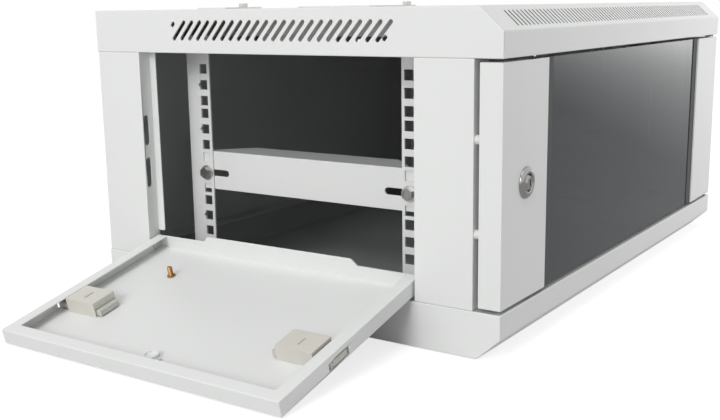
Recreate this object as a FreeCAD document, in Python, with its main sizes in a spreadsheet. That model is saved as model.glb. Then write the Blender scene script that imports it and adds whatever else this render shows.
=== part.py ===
import FreeCAD, Part
import os
import re
import Sketcher

# Wall-mount rack cabinet, 4 height units, with a glazed front door and two tip-out side panels.
# Millimetres. +Z is up, the door faces -Y, and the origin is the middle of the base on the floor.

doc = FreeCAD.newDocument("RackCabinet")
sheet = doc.addObject("Spreadsheet::Sheet", "Sizes")

SIZES = {
    # outer casing
    "side_bay": 75,
    "cabinet_depth": 446,
    "cabinet_height": 282,
    "cap_height": 40,
    "cap_sheet": 1.5,
    "rim_width": 20,
    "slope_run": 21,
    "slope_drop": 19,
    # vents in the top cover
    "vent_count": 24,
    "vent_pitch": 9.86,
    "vent_width": 4,
    "vent_lean": 13.1,
    "vent_top_drop": 9.8,
    "vent_bottom_drop": 28.5,
    "vent_shift": 3.14,
    "slope_slot_count": 72,
    "slope_slot_pitch": 7.5,
    "slope_slot_width": 2.2,
    "slope_slot_start": 4.4,
    "slope_slot_length": 18.6,
    # covered entries in the top
    "cable_entry_size": 70,
    "cable_plate_size": 100,
    "cable_plate_setback": 111,
    "vent_entry_length": 40,
    "vent_entry_width": 24,
    "vent_plate_length": 60,
    "vent_plate_width": 40,
    "vent_plate_leftward": 150,
    "vent_plate_setback": 45,
    "plate_sheet": 1.5,
    "thumbscrew_radius": 5,
    "thumbscrew_height": 4,
    "thumbscrew_inset": 8,
    "thumbscrew_shank_radius": 2,
    "thumbscrew_shank_length": 8,
    # posts
    "post_sheet": 1.5,
    "post_return": 14,
    "post_lip": 7.5,
    "lip_relief": 24,
    "bumper_gap": 4.6,
    "front_post_depth": 54.2,
    "front_post_flange": 25,
    "rear_post_depth": 56.5,
    "rear_post_flange": 25,
    "post_tab_depth": 16,
    "latch_slot_width": 6,
    "latch_slot_height": 30,
    "latch_slot_inset": 5,
    "latch_slot_step": 42,
    # rear wall
    "rear_wall_sheet": 1.5,
    "rear_wall_margin": 1.5,
    "wall_hole_radius": 4.5,
    "wall_hole_spacing_x": 330,
    "wall_hole_drop": 8,
    "wall_hole_spacing_z": 182,
    "rear_screw_end": 26,
    # 19 inch rails
    "rail_sheet": 2,
    "rail_flange": 18,
    "rail_clear_half": 225,
    "front_rail_setback": 96,
    "rail_web_width": 29.5,
    "rear_rail_setback": 66,
    "rail_end_gap": 23,
    "unit_pitch": 44.45,
    "unit_count": 4,
    "unit_hole_step": 15.875,
    "square_hole": 9.5,
    "rack_hole_inset": 7.55,
    "web_hole_inset": 7.75,
    "rail_notch_radius": 2.2,
    # slotted rails that carry the 19 inch rails
    "depth_rail_sheet": 2,
    "depth_rail_leg": 36,
    "depth_rail_foot": 25,
    "depth_rail_front_gap": 37,
    "depth_rail_rear_gap": 23,
    "depth_rail_slot_length": 150,
    "rail_screw_inset": 6,
    # support brackets
    "bracket_sheet": 1.5,
    "bracket_rise": 22.225,
    "bracket_fall": 39,
    "bracket_shelf": 40,
    "bracket_gap": 3,
    "shelf_front_inset": 13,
    "shelf_rear_inset": 9,
    "bracket_clip": 40,
    "bracket_slot_height": 6.5,
    "bracket_slot_length": 40,
    "bracket_slot_end": 4,
    # bolts
    "bolt_radius": 3,
    "bolt_head_radius": 5.77,
    "bolt_head_height": 4,
    "washer_radius": 7.5,
    "washer_sheet": 1.6,
    "nut_height": 5,
    "bolt_end": 2,
    "panhead_radius": 4.5,
    "panhead_height": 3,
    "frame_screw_radius": 2.5,
    "frame_screw_length": 9,
    "wall_screw_length": 7,
    # door
    "door_margin": 0.5,
    "door_right_margin": 1,
    "door_depth": 20,
    "door_sheet": 1.2,
    "door_lower_gap": 3,
    "door_upper_gap": 2.7,
    "lock_strip_width": 86,
    "hinge_strip_width": 77.5,
    "door_return": 12,
    "glass_thickness": 4,
    "glass_lap": 12,
    "seal_thickness": 1.7,
    "seal_lip": 13,
    "clamp_sheet": 1.5,
    "clamp_foot": 16,
    "strip_edge_depth": 2,
    "bumper_radius": 4,
    "bumper_stem_radius": 2,
    "bumper_stem_length": 5,
    "bumper_inset": 5.2,
    "bumper_spacing": 76,
    "door_fit": 0.3,
    # door hinges
    "hinge_inset": 9,
    "hinge_depth": 9,
    "hinge_pin_radius": 3,
    "hinge_pin_overlap": 9,
    "bush_radius": 5,
    "bush_flange_radius": 6.5,
    "bush_flange_height": 1.6,
    "bush_length": 6,
    "running_fit": 0.08,
    # lock
    "lock_inset": 44,
    "lock_height": 141,
    "lock_flange_radius": 13.2,
    "lock_flange_height": 1.8,
    "lock_barrel_radius": 9.5,
    "lock_clearance": 0.3,
    "lock_plug_radius": 7,
    "lock_plug_rise": 2,
    "key_slot_length": 8,
    "key_slot_width": 2,
    "key_slot_depth": 10,
    "lock_nut_radius": 14,
    "lock_nut_height": 4,
    "cam_gap": 0.4,
    "cam_sheet": 2,
    "cam_width": 16,
    "cam_reach": 34,
    "cam_screw_radius": 2.5,
    "cam_screw_head_radius": 5,
    "cam_screw_head_height": 2.5,
    # side panels
    "panel_gap": 1.85,
    "panel_upper_gap": 2.4,
    "panel_depth": 13.6,
    "panel_sheet": 1.2,
    "panel_lip": 12,
    "panel_lower_gap": 2,
    "tongue_inset": 62.55,
    "tongue_rise": 6,
    "panel_pivot_inset": 5.3,
    "panel_pivot_rise": 8,
    "panel_open_angle": 103.54,
    "panel_pin_radius": 2.5,
    "panel_pin_overlap": 6,
    "panel_pin_head": 4,
    "panel_pin_head_height": 1.2,
    # latches
    "housing_length": 36,
    "housing_height": 26,
    "housing_rise": 13.5,
    "housing_center_rise": 124,
    "housing_inset": 14.5,
    "slider_thickness": 5,
    "slider_height": 22,
    "slider_inset": 2.5,
    "slider_tail": 5.5,
    "latch_rest_back": 5,
    "latch_fit": 0.3,
    "latch_cut_height": 27,
    "latch_cut_width": 7,
    "latch_cut_inset": 1.5,
    "slit_length": 11,
    "slit_width": 1.8,
    "slit_depth": 1.5,
    # earth stud and panel plug
    "stud_radius": 2.5,
    "stud_height": 10,
    "stud_base_radius": 4,
    "stud_base_height": 1.5,
    "stud_inset": 62.35,
    "stud_rise": 51.5,
    "plug_radius": 6.5,
    "plug_head_radius": 8,
    "plug_head_height": 0.8,
    "plug_depth": 4,
    "plug_drop": 26.6,
}

for row, (alias, size) in enumerate(SIZES.items(), start=1):
    sheet.set("A%d" % row, alias.replace("_", " "))
    sheet.set("B%d" % row, str(size))
    sheet.setAlias("B%d" % row, alias)
doc.recompute()

WORD = re.compile(r"[a-z][a-z_]*[a-z]")


# Places and sizes that follow from the sheet, used by name in the expressions below.
DERIVED = {
    "cabinet_width": "2 * rail_clear_half + 2 * side_bay",
    "front_post_front": "cabinet_depth / 2 - door_depth - bumper_gap",
    "front_post_rear": "front_post_front - front_post_depth",
    "rear_post_front": "cabinet_depth / 2 - rear_wall_sheet - rear_post_depth",
    "latch_slot_upper": "panel_bottom + housing_center_rise",
    "latch_slot_lower": "latch_slot_upper - latch_slot_step",
    "wall_hole_upper": "cabinet_height - cap_height - wall_hole_drop",
    "wall_hole_lower": "wall_hole_upper - wall_hole_spacing_z",
    "rear_screw_spacing": "cabinet_height / 2 - cap_height - rear_screw_end",
    "rail_web_place": "rail_clear_half + rail_flange",
    "rack_hole_half": "rail_clear_half + rack_hole_inset",
    "front_rail_front": "cabinet_depth / 2 - front_rail_setback",
    "front_rail_edge": "front_rail_front - rail_web_width",
    "rear_rail_rear": "cabinet_depth / 2 - rear_rail_setback",
    "rear_rail_edge": "rear_rail_rear - rail_web_width",
    "rail_height": "cabinet_height - 2 * rail_end_gap",
    "rail_screw_place": "rail_height / 2 - rail_screw_inset",
    "depth_rail_front": "cabinet_depth / 2 - depth_rail_front_gap",
    "depth_rail_rear": "cabinet_depth / 2 - depth_rail_rear_gap",
    "bracket_top": "cabinet_height / 2 - unit_pitch / 2 + bracket_rise",
    "bracket_front": "front_rail_front - rail_sheet - bracket_gap",
    "bracket_rear": "rear_rail_rear - rail_sheet - bracket_gap",
    "shelf_front": "bracket_front - shelf_front_inset",
    "shelf_rear": "bracket_rear - shelf_rear_inset",
    "door_bottom": "cap_height + door_lower_gap",
    "door_top": "cabinet_height - cap_height - door_upper_gap",
    "bumper_upper": "cabinet_height / 2 + bumper_spacing / 2",
    "bumper_lower": "cabinet_height / 2 - bumper_spacing / 2",
    "hinge_place": "cabinet_width / 2 - hinge_inset",
    "hinge_setback": "cabinet_depth / 2 - hinge_depth",
    "lock_place": "cabinet_width / 2 - door_margin - lock_inset",
    "lock_barrel_reach": "front_post_front - post_sheet - lock_clearance",
    "panel_length": "rear_post_front + front_post_rear - 2 * panel_gap",
    "panel_center": "rear_post_front / 2 - front_post_rear / 2",
    "panel_bottom": "cap_height + panel_lower_gap",
    "panel_height": "cabinet_height - 2 * cap_height - panel_lower_gap - panel_upper_gap",
    "tongue_length": "panel_length - 2 * tongue_inset",
    "slider_length": "housing_inset + housing_length + slider_tail",
    "stud_offset": "panel_length / 2 - stud_inset",
    "plug_rise": "panel_height - plug_drop",
    "vent_rearmost": "(vent_count - 1) * vent_pitch / 2 - vent_lean / 2 - vent_shift",
    "cable_plate_rearward": "cabinet_depth / 2 - cable_plate_setback",
    "vent_plate_rearward": "cabinet_depth / 2 - vent_plate_setback",
}


def bound(expression):
    """Turn the size names in an expression into references to the sheet."""
    def reference(word):
        name = word.group()
        if name in DERIVED:
            return "(%s)" % bound(DERIVED[name])
        return "Sizes." + name if name in SIZES else name
    return WORD.sub(reference, expression)


def number(expression):
    """Work out an expression from the sheet."""
    value = sheet.evalExpression(bound(expression).replace("Sizes.", ""))
    return float(getattr(value, "Value", value))


# Derived places, written once and used in many expressions.
HALF_WIDTH = "(cabinet_width / 2)"
HALF_DEPTH = "(cabinet_depth / 2)"
TOP_RIM = "(cabinet_height - cap_height)"
BOTTOM_RIM = "cap_height"
SLOPE_ANGLE = "atan(slope_drop / slope_run)"
RACK_MIDDLE = "(cabinet_height / 2)"
DOOR_FRONT = "(-cabinet_depth / 2)"
DOOR_BACK = "(-cabinet_depth / 2 + door_depth)"
DOOR_LEFT = "(-cabinet_width / 2 + door_margin)"
DOOR_RIGHT = "(cabinet_width / 2 - door_right_margin)"
GLASS_FRONT = "(-cabinet_depth / 2 + door_sheet + seal_thickness)"
GLASS_BACK = "(-cabinet_depth / 2 + door_sheet + seal_thickness + glass_thickness)"
LOCK_STRIP_EDGE = "(-cabinet_width / 2 + door_margin + lock_strip_width)"
HINGE_STRIP_EDGE = "(cabinet_width / 2 - door_right_margin - hinge_strip_width)"

DIRECTIONS = {
    "+Z": FreeCAD.Rotation(),
    "-Z": FreeCAD.Rotation(FreeCAD.Vector(1, 0, 0), 180),
    "+X": FreeCAD.Rotation(FreeCAD.Vector(0, 1, 0), 90),
    "-X": FreeCAD.Rotation(FreeCAD.Vector(0, 1, 0), -90),
    "+Y": FreeCAD.Rotation(FreeCAD.Vector(1, 0, 0), -90),
    "-Y": FreeCAD.Rotation(FreeCAD.Vector(1, 0, 0), 90),
}

PIECES = []


def keep(piece, label):
    """Name a finished sub-part, which is written out under that name."""
    piece.Label = label
    PIECES.append(piece)
    return piece


def bind(thing, **sizes):
    """Bind properties of an object to expressions of the sheet."""
    for name, expression in sizes.items():
        thing.setExpression(name, bound(expression))
    return thing


def place(thing, at, direction="+Z"):
    """Turn an object to a direction and bind its place."""
    thing.Placement = FreeCAD.Placement(FreeCAD.Vector(), DIRECTIONS[direction])
    for axis, expression in zip("xyz", at):
        thing.setExpression("Placement.Base." + axis, bound(expression))
    return thing


def box(name, size, at):
    """A block from its lowest corner."""
    block = doc.addObject("Part::Box", name)
    bind(block, Length=size[0], Width=size[1], Height=size[2])
    return place(block, at)


def cylinder(name, radius, height, at, direction="+Z"):
    """A cylinder from the middle of its first face."""
    rod = doc.addObject("Part::Cylinder", name)
    bind(rod, Radius=radius, Height=height)
    return place(rod, at, direction)


def hexagon(name, radius, height, at, direction="+Z"):
    """A hexagonal prism from the middle of its first face."""
    prism = doc.addObject("Part::Prism", name)
    prism.Polygon = 6
    bind(prism, Circumradius=radius, Height=height)
    return place(prism, at, direction)


def fuse(name, *shapes):
    """One solid from several."""
    joined = doc.addObject("Part::MultiFuse", name)
    joined.Shapes = list(shapes)
    joined.Refine = True
    return joined


def cut(name, base, tool):
    """One solid less another."""
    result = doc.addObject("Part::Cut", name)
    result.Base = base
    result.Tool = tool
    return result


def group(label, *solids):
    """Separate solids that share one node."""
    compound = doc.addObject("Part::Compound", label)
    compound.Links = list(solids)
    return keep(compound, label)


def mirrored(piece, label):
    """The left-hand twin of a right-hand sub-part."""
    twin = doc.addObject("Part::Mirroring", label)
    twin.Source = piece
    twin.Base = FreeCAD.Vector()
    twin.Normal = FreeCAD.Vector(1, 0, 0)
    return keep(twin, label)


def new_body(label):
    """An empty body for one sub-part."""
    return keep(doc.addObject("PartDesign::Body", label), label)


def sketch_on(body, role, offset="0"):
    """A sketch on an origin plane of its body, moved along the plane's normal."""
    sketch = body.newObject("Sketcher::SketchObject", body.Label + "_sketch")
    plane = [feature for feature in body.Origin.OriginFeatures if feature.Role == role]
    sketch.AttachmentSupport = [(plane[0], "")]
    sketch.MapMode = "FlatFace"
    sketch.setExpression("AttachmentOffset.Base.z", bound(offset))
    return sketch


def fix_point(sketch, geometry, point, at):
    """Hold one point of a sketch at two bound coordinates."""
    for kind, expression in zip(("DistanceX", "DistanceY"), at):
        index = sketch.addConstraint(Sketcher.Constraint(kind, -1, 1, geometry, point, number(expression)))
        sketch.setExpression("Constraints[%d]" % index, bound(expression))


def polygon(sketch, corners):
    """A closed outline of straight edges through bound corners."""
    first = sketch.GeometryCount
    points = [FreeCAD.Vector(number(along), number(up), 0) for along, up in corners]
    count = len(points)
    for index in range(count):
        sketch.addGeometry(Part.LineSegment(points[index], points[(index + 1) % count]), False)
    for index in range(count):
        following = first + (index + 1) % count
        sketch.addConstraint(Sketcher.Constraint("Coincident", first + index, 2, following, 1))
    for index, corner in enumerate(corners):
        fix_point(sketch, first + index, 1, corner)
    return sketch


def rectangle(sketch, low, high):
    """A rectangle from two bound corners."""
    return polygon(sketch, [low, (high[0], low[1]), high, (low[0], high[1])])


def circle(sketch, center, radius):
    """A circle with a bound middle and radius."""
    middle = FreeCAD.Vector(number(center[0]), number(center[1]), 0)
    index = sketch.addGeometry(Part.Circle(middle, FreeCAD.Vector(0, 0, 1), number(radius)), False)
    fix_point(sketch, index, 3, center)
    rule = sketch.addConstraint(Sketcher.Constraint("Radius", index, number(radius)))
    sketch.setExpression("Constraints[%d]" % rule, bound(radius))
    return sketch


def slot(sketch, start, end, radius):
    """A slot with round ends about two bound points."""
    first = FreeCAD.Vector(number(start[0]), number(start[1]), 0)
    last = FreeCAD.Vector(number(end[0]), number(end[1]), 0)
    along = (last - first).normalize()
    side = FreeCAD.Vector(-along.y, along.x, 0) * number(radius)
    reach = along * number(radius)
    head = sketch.addGeometry(Part.Arc(first + side, first - reach, first - side), False)
    foot = sketch.addGeometry(Part.Arc(last - side, last + reach, last + side), False)
    lower = sketch.addGeometry(Part.LineSegment(first - side, last - side), False)
    upper = sketch.addGeometry(Part.LineSegment(last + side, first + side), False)
    for here, end_here, there, end_there in (
        (head, 2, lower, 1), (lower, 2, foot, 1), (foot, 2, upper, 1), (upper, 2, head, 1),
    ):
        sketch.addConstraint(Sketcher.Constraint("Tangent", here, end_here, there, end_there))
    fix_point(sketch, head, 3, start)
    fix_point(sketch, foot, 3, end)
    rule = sketch.addConstraint(Sketcher.Constraint("Radius", head, number(radius)))
    sketch.setExpression("Constraints[%d]" % rule, bound(radius))
    return sketch


def pad(body, sketch, length, midplane=False, backward=False):
    """Grow a sketch into a solid."""
    feature = body.newObject("PartDesign::Pad", body.Label + "_pad")
    feature.Profile = sketch
    feature.Midplane = midplane
    feature.Reversed = backward
    return bind(feature, Length=length)


def pocket(body, sketch, length, midplane=False, forward=False):
    """Cut a sketch out of the solid, against its normal unless forward is set."""
    feature = body.newObject("PartDesign::Pocket", body.Label + "_pocket")
    feature.Profile = sketch
    feature.Midplane = midplane
    feature.Reversed = forward
    return bind(feature, Length=length)


def row_of(body, feature, role, pitch, count, backward=False):
    """Repeat a feature along an origin axis of its body."""
    pattern = body.newObject("PartDesign::LinearPattern", body.Label + "_row")
    axis = [datum for datum in body.Origin.OriginFeatures if datum.Role == role]
    pattern.Originals = [feature]
    pattern.Direction = (axis[0], [""])
    pattern.Reversed = backward
    bind(pattern, Length="(%s) * (%s - 1)" % (pitch, count), Occurrences=count)
    body.Tip = pattern
    return pattern


# Top cover and base pan.
def cap(label, crown, up):
    """A closed tray with a sloping front edge. Its crown is at one height and its rim faces the other cap."""
    body = new_body(label)
    rim = "(%s - %s * cap_height)" % (crown, up)
    shoulder = "(%s - %s * slope_drop)" % (crown, up)
    outer = sketch_on(body, "YZ_Plane")
    polygon(outer, [
        (DOOR_FRONT, rim),
        (HALF_DEPTH, rim),
        (HALF_DEPTH, crown),
        (DOOR_FRONT + " + slope_run", crown),
        (DOOR_FRONT, shoulder),
    ])
    pad(body, outer, "cabinet_width", midplane=True)
    inside = sketch_on(body, "YZ_Plane")
    inner_crown = "(%s - %s * cap_sheet)" % (crown, up)
    inner_rim = "(%s + %s * cap_sheet)" % (rim, up)
    shoulder_step = "cap_sheet * (1 - sin(%s)) / cos(%s)" % (SLOPE_ANGLE, SLOPE_ANGLE)
    inner_shoulder = "(%s - %s * %s)" % (shoulder, up, shoulder_step)
    inner_run = "slope_run + cap_sheet * (1 - cos(%s)) / sin(%s)" % (SLOPE_ANGLE, SLOPE_ANGLE)
    polygon(inside, [
        (DOOR_FRONT + " + cap_sheet", inner_rim),
        (HALF_DEPTH + " - cap_sheet", inner_rim),
        (HALF_DEPTH + " - cap_sheet", inner_crown),
        ("%s + %s" % (DOOR_FRONT, inner_run), inner_crown),
        (DOOR_FRONT + " + cap_sheet", inner_shoulder),
    ])
    pocket(body, inside, "cabinet_width - 2 * cap_sheet", midplane=True)
    mouth = sketch_on(body, "XY_Plane", rim)
    rectangle(
        mouth,
        ("rim_width - " + HALF_WIDTH, "rim_width - " + HALF_DEPTH),
        (HALF_WIDTH + " - rim_width", HALF_DEPTH + " - rim_width"),
    )
    pocket(body, mouth, "2 * cap_sheet", midplane=True)
    bush_holes = sketch_on(body, "XY_Plane", rim)
    circle(bush_holes, ("hinge_place", "-hinge_setback"), "bush_radius")
    pocket(body, bush_holes, "2 * cap_sheet", midplane=True)
    screw_holes = sketch_on(body, "XY_Plane", rim)
    for x, y in TAB_SCREWS:
        circle(screw_holes, (x, y), "frame_screw_radius")
    pocket(body, screw_holes, "2 * cap_sheet", midplane=True)
    return body


FRONT_TAB_SCREW = "(-front_post_front / 2 - front_post_rear / 2)"
REAR_TAB_SCREW = "(rear_post_front / 2 + (%s - rear_wall_sheet) / 2)" % HALF_DEPTH
TAB_SCREW_INSET = "(%s - post_sheet - post_tab_depth / 2)" % HALF_WIDTH
TAB_SCREWS = [
    (side + TAB_SCREW_INSET, along)
    for side in ("", "-")
    for along in (FRONT_TAB_SCREW, REAR_TAB_SCREW)
]

cover = cap("top_cover", "cabinet_height", "1")
vent = sketch_on(cover, "YZ_Plane")
slot(
    vent,
    ("vent_rearmost", "cabinet_height - vent_top_drop - vent_width / 2"),
    ("vent_rearmost + vent_lean", "cabinet_height - vent_bottom_drop + vent_width / 2"),
    "vent_width / 2",
)
vent_cut = pocket(cover, vent, "cabinet_width", midplane=True)
row_of(cover, vent_cut, "Y_Axis", "vent_pitch", "vent_count", backward=True)
slope_slot = sketch_on(cover, "XY_Plane", "cabinet_height")
SLOPE_START = "(slope_slot_start * cos(%s))" % SLOPE_ANGLE
SLOPE_END = "((slope_slot_start + slope_slot_length) * cos(%s))" % SLOPE_ANGLE
SLOPE_FIRST = "(-slope_slot_pitch * (slope_slot_count - 1) / 2)"
slot(
    slope_slot,
    (SLOPE_FIRST, "%s + %s + slope_slot_width / 2" % (DOOR_FRONT, SLOPE_START)),
    (SLOPE_FIRST, "%s + %s - slope_slot_width / 2" % (DOOR_FRONT, SLOPE_END)),
    "slope_slot_width / 2",
)
slope_cut = pocket(cover, slope_slot, "slope_drop + 3 * cap_sheet")
row_of(cover, slope_cut, "X_Axis", "slope_slot_pitch", "slope_slot_count")
entries = sketch_on(cover, "XY_Plane", "cabinet_height")
rectangle(
    entries,
    ("-cable_entry_size / 2", "cable_plate_rearward - cable_entry_size / 2"),
    ("cable_entry_size / 2", "cable_plate_rearward + cable_entry_size / 2"),
)
rectangle(
    entries,
    ("-vent_plate_leftward - vent_entry_length / 2", "vent_plate_rearward - vent_entry_width / 2"),
    ("-vent_plate_leftward + vent_entry_length / 2", "vent_plate_rearward + vent_entry_width / 2"),
)
CABLE_KNOB = (
    "cable_plate_size / 2 - thumbscrew_inset",
    "cable_plate_rearward - cable_plate_size / 2 + thumbscrew_inset",
)
VENT_KNOB = ("vent_plate_length / 2 - thumbscrew_inset - vent_plate_leftward", "vent_plate_rearward")
circle(entries, CABLE_KNOB, "thumbscrew_shank_radius + door_fit")
circle(entries, VENT_KNOB, "thumbscrew_shank_radius + door_fit")
pocket(cover, entries, "3 * cap_sheet", midplane=True)

base = cap("base_pan", "0", "-1")


# Covers over the two entries in the top, each held by one knurled screw.
def entry_plate(label, low, high, knob):
    body = new_body(label)
    outline = sketch_on(body, "XY_Plane", "cabinet_height")
    rectangle(outline, low, high)
    circle(outline, knob, "thumbscrew_shank_radius + door_fit")
    pad(body, outline, "plate_sheet")
    return body


entry_plate(
    "cable_entry_plate",
    ("-cable_plate_size / 2", "cable_plate_rearward - cable_plate_size / 2"),
    ("cable_plate_size / 2", "cable_plate_rearward + cable_plate_size / 2"),
    CABLE_KNOB,
)
entry_plate(
    "vent_entry_plate",
    ("-vent_plate_leftward - vent_plate_length / 2", "vent_plate_rearward - vent_plate_width / 2"),
    ("-vent_plate_leftward + vent_plate_length / 2", "vent_plate_rearward + vent_plate_width / 2"),
    VENT_KNOB,
)


def thumbscrew(name, knob):
    head = cylinder(name + "_head", "thumbscrew_radius", "thumbscrew_height",
                    (knob[0], knob[1], "cabinet_height + plate_sheet"))
    shank = cylinder(name + "_shank", "thumbscrew_shank_radius", "thumbscrew_shank_length",
                     (knob[0], knob[1], "cabinet_height + plate_sheet - thumbscrew_shank_length"))
    return fuse(name, head, shank)


group("plate_thumbscrews", thumbscrew("cable_knob", CABLE_KNOB), thumbscrew("vent_knob", VENT_KNOB))


# Posts: folded channels between the two caps, with a lip behind each side opening.
def post(label, corners, lip_low, lip_high, return_face, tab_low, tab_high, tab_screw, bumpers):
    """A post on the right-hand side. The outline runs round the folded sheet in plan."""
    body = new_body(label)
    plan = sketch_on(body, "XY_Plane", BOTTOM_RIM)
    polygon(plan, corners)
    pad(body, plan, "%s - %s" % (TOP_RIM, BOTTOM_RIM))
    for level, backward in ((BOTTOM_RIM, False), (TOP_RIM, True)):
        tab = sketch_on(body, "XY_Plane", level)
        rectangle(
            tab,
            (HALF_WIDTH + " - post_sheet - post_tab_depth", tab_low),
            (HALF_WIDTH + " - post_sheet", tab_high),
        )
        pad(body, tab, "post_sheet", backward=backward)
    holes = sketch_on(body, "XY_Plane", RACK_MIDDLE)
    circle(holes, (TAB_SCREW_INSET, tab_screw), "frame_screw_radius")
    pocket(body, holes, "cabinet_height", midplane=True)
    relief = sketch_on(body, "YZ_Plane", HALF_WIDTH + " - post_return")
    rectangle(relief, (lip_low, BOTTOM_RIM), (lip_high, BOTTOM_RIM + " + lip_relief"))
    pocket(body, relief, "2 * post_sheet", midplane=True)
    slots = sketch_on(body, "XZ_Plane", "-(%s)" % return_face)
    across = HALF_WIDTH + " - latch_slot_inset"
    for level in ("latch_slot_upper", "latch_slot_lower"):
        slot(
            slots,
            (across, level + " - latch_slot_height / 2 + latch_slot_width / 2"),
            (across, level + " + latch_slot_height / 2 - latch_slot_width / 2"),
            "latch_slot_width / 2",
        )
    circle(slots, (HALF_WIDTH + " - panel_pivot_inset", "panel_bottom + panel_pivot_rise"),
           "panel_pin_radius + running_fit")
    pocket(body, slots, "4 * post_sheet", midplane=True)
    if bumpers:
        seats = sketch_on(body, "XZ_Plane", "front_post_front")
        for level in ("bumper_upper", "bumper_lower"):
            circle(seats, (HALF_WIDTH + " - bumper_inset", level), "bumper_stem_radius")
        pocket(body, seats, "4 * post_sheet", midplane=True)
    return body


OUTSIDE = HALF_WIDTH
SKIN = HALF_WIDTH + " - post_sheet"
LIP_FACE = HALF_WIDTH + " - post_return"
LIP_BACK = HALF_WIDTH + " - post_return - post_sheet"
front_post = post(
    "front_post_right",
    [
        (OUTSIDE, "-front_post_front"),
        (OUTSIDE, "-front_post_rear"),
        (LIP_FACE, "-front_post_rear"),
        (LIP_FACE, "-front_post_rear + post_lip"),
        (LIP_BACK, "-front_post_rear + post_lip"),
        (LIP_BACK, "-front_post_rear - post_sheet"),
        (SKIN, "-front_post_rear - post_sheet"),
        (SKIN, "-front_post_front + post_sheet"),
        (HALF_WIDTH + " - front_post_flange", "-front_post_front + post_sheet"),
        (HALF_WIDTH + " - front_post_flange", "-front_post_front"),
    ],
    "-front_post_rear", "-front_post_rear + 2 * post_lip", "-front_post_rear - post_sheet / 2",
    "-front_post_front + post_sheet", "-front_post_rear - post_sheet", FRONT_TAB_SCREW, True,
)
mirrored(front_post, "front_post_left")
REAR_FLANGE = HALF_DEPTH + " - rear_wall_sheet"
REAR_SCREW_INSET = "(%s - rear_post_flange + panhead_radius + 2 * post_sheet)" % HALF_WIDTH
REAR_SCREW_LEVELS = [RACK_MIDDLE + step for step in (" - rear_screw_spacing", "", " + rear_screw_spacing")]
rear_post = post(
    "rear_post_right",
    [
        (OUTSIDE, "rear_post_front"),
        (OUTSIDE, REAR_FLANGE),
        (HALF_WIDTH + " - rear_post_flange", REAR_FLANGE),
        (HALF_WIDTH + " - rear_post_flange", REAR_FLANGE + " - post_sheet"),
        (SKIN, REAR_FLANGE + " - post_sheet"),
        (SKIN, "rear_post_front + post_sheet"),
        (LIP_BACK, "rear_post_front + post_sheet"),
        (LIP_BACK, "rear_post_front - post_lip"),
        (LIP_FACE, "rear_post_front - post_lip"),
        (LIP_FACE, "rear_post_front"),
    ],
    "rear_post_front - 2 * post_lip", "rear_post_front", "rear_post_front + post_sheet / 2",
    "rear_post_front + post_sheet", REAR_FLANGE + " - post_sheet", REAR_TAB_SCREW, False,
)
flange_holes = sketch_on(rear_post, "XZ_Plane", "-(%s)" % REAR_FLANGE)
for level in REAR_SCREW_LEVELS:
    circle(flange_holes, (REAR_SCREW_INSET, level), "frame_screw_radius")
pocket(rear_post, flange_holes, "4 * post_sheet", midplane=True)
mirrored(rear_post, "rear_post_left")


# Screws that hold the post tabs to the rims of the caps.
def frame_screw(name, x, y, level, direction, inward):
    head = cylinder(name + "_head", "panhead_radius", "panhead_height", (x, y, level), direction)
    shank = cylinder(name + "_shank", "frame_screw_radius", "frame_screw_length", (x, y, level), inward)
    return fuse(name, head, shank)


frame_screws = []
for index, (x, y) in enumerate(TAB_SCREWS):
    frame_screws.append(frame_screw("top_screw_%d" % index, x, y, TOP_RIM + " + cap_sheet", "+Z", "-Z"))
    frame_screws.append(frame_screw("base_screw_%d" % index, x, y, BOTTOM_RIM + " - cap_sheet", "-Z", "+Z"))
group("frame_screws", *frame_screws)

# Rear wall with its wall-mount holes.
rear_wall = new_body("rear_wall")
wall_outline = sketch_on(rear_wall, "XZ_Plane", "-%s" % HALF_DEPTH)
rectangle(
    wall_outline,
    ("rear_wall_margin - " + HALF_WIDTH, BOTTOM_RIM),
    (HALF_WIDTH + " - rear_wall_margin", TOP_RIM),
)
for x in ("-wall_hole_spacing_x / 2", "wall_hole_spacing_x / 2"):
    for z in ("wall_hole_lower", "wall_hole_upper"):
        circle(wall_outline, (x, z), "wall_hole_radius")
REAR_SCREWS = [(side + REAR_SCREW_INSET, level) for side in ("", "-") for level in REAR_SCREW_LEVELS]
for x, z in REAR_SCREWS:
    circle(wall_outline, (x, z), "frame_screw_radius")
pad(rear_wall, wall_outline, "rear_wall_sheet")

rear_screws = []
for index, (x, z) in enumerate(REAR_SCREWS):
    at = (x, HALF_DEPTH, z)
    rear_screws.append(fuse(
        "rear_screw_%d" % index,
        cylinder("rear_screw_head_%d" % index, "panhead_radius", "panhead_height", at, "+Y"),
        cylinder("rear_screw_shank_%d" % index, "frame_screw_radius", "wall_screw_length", at, "-Y"),
    ))
group("rear_wall_screws", *rear_screws)


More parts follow.
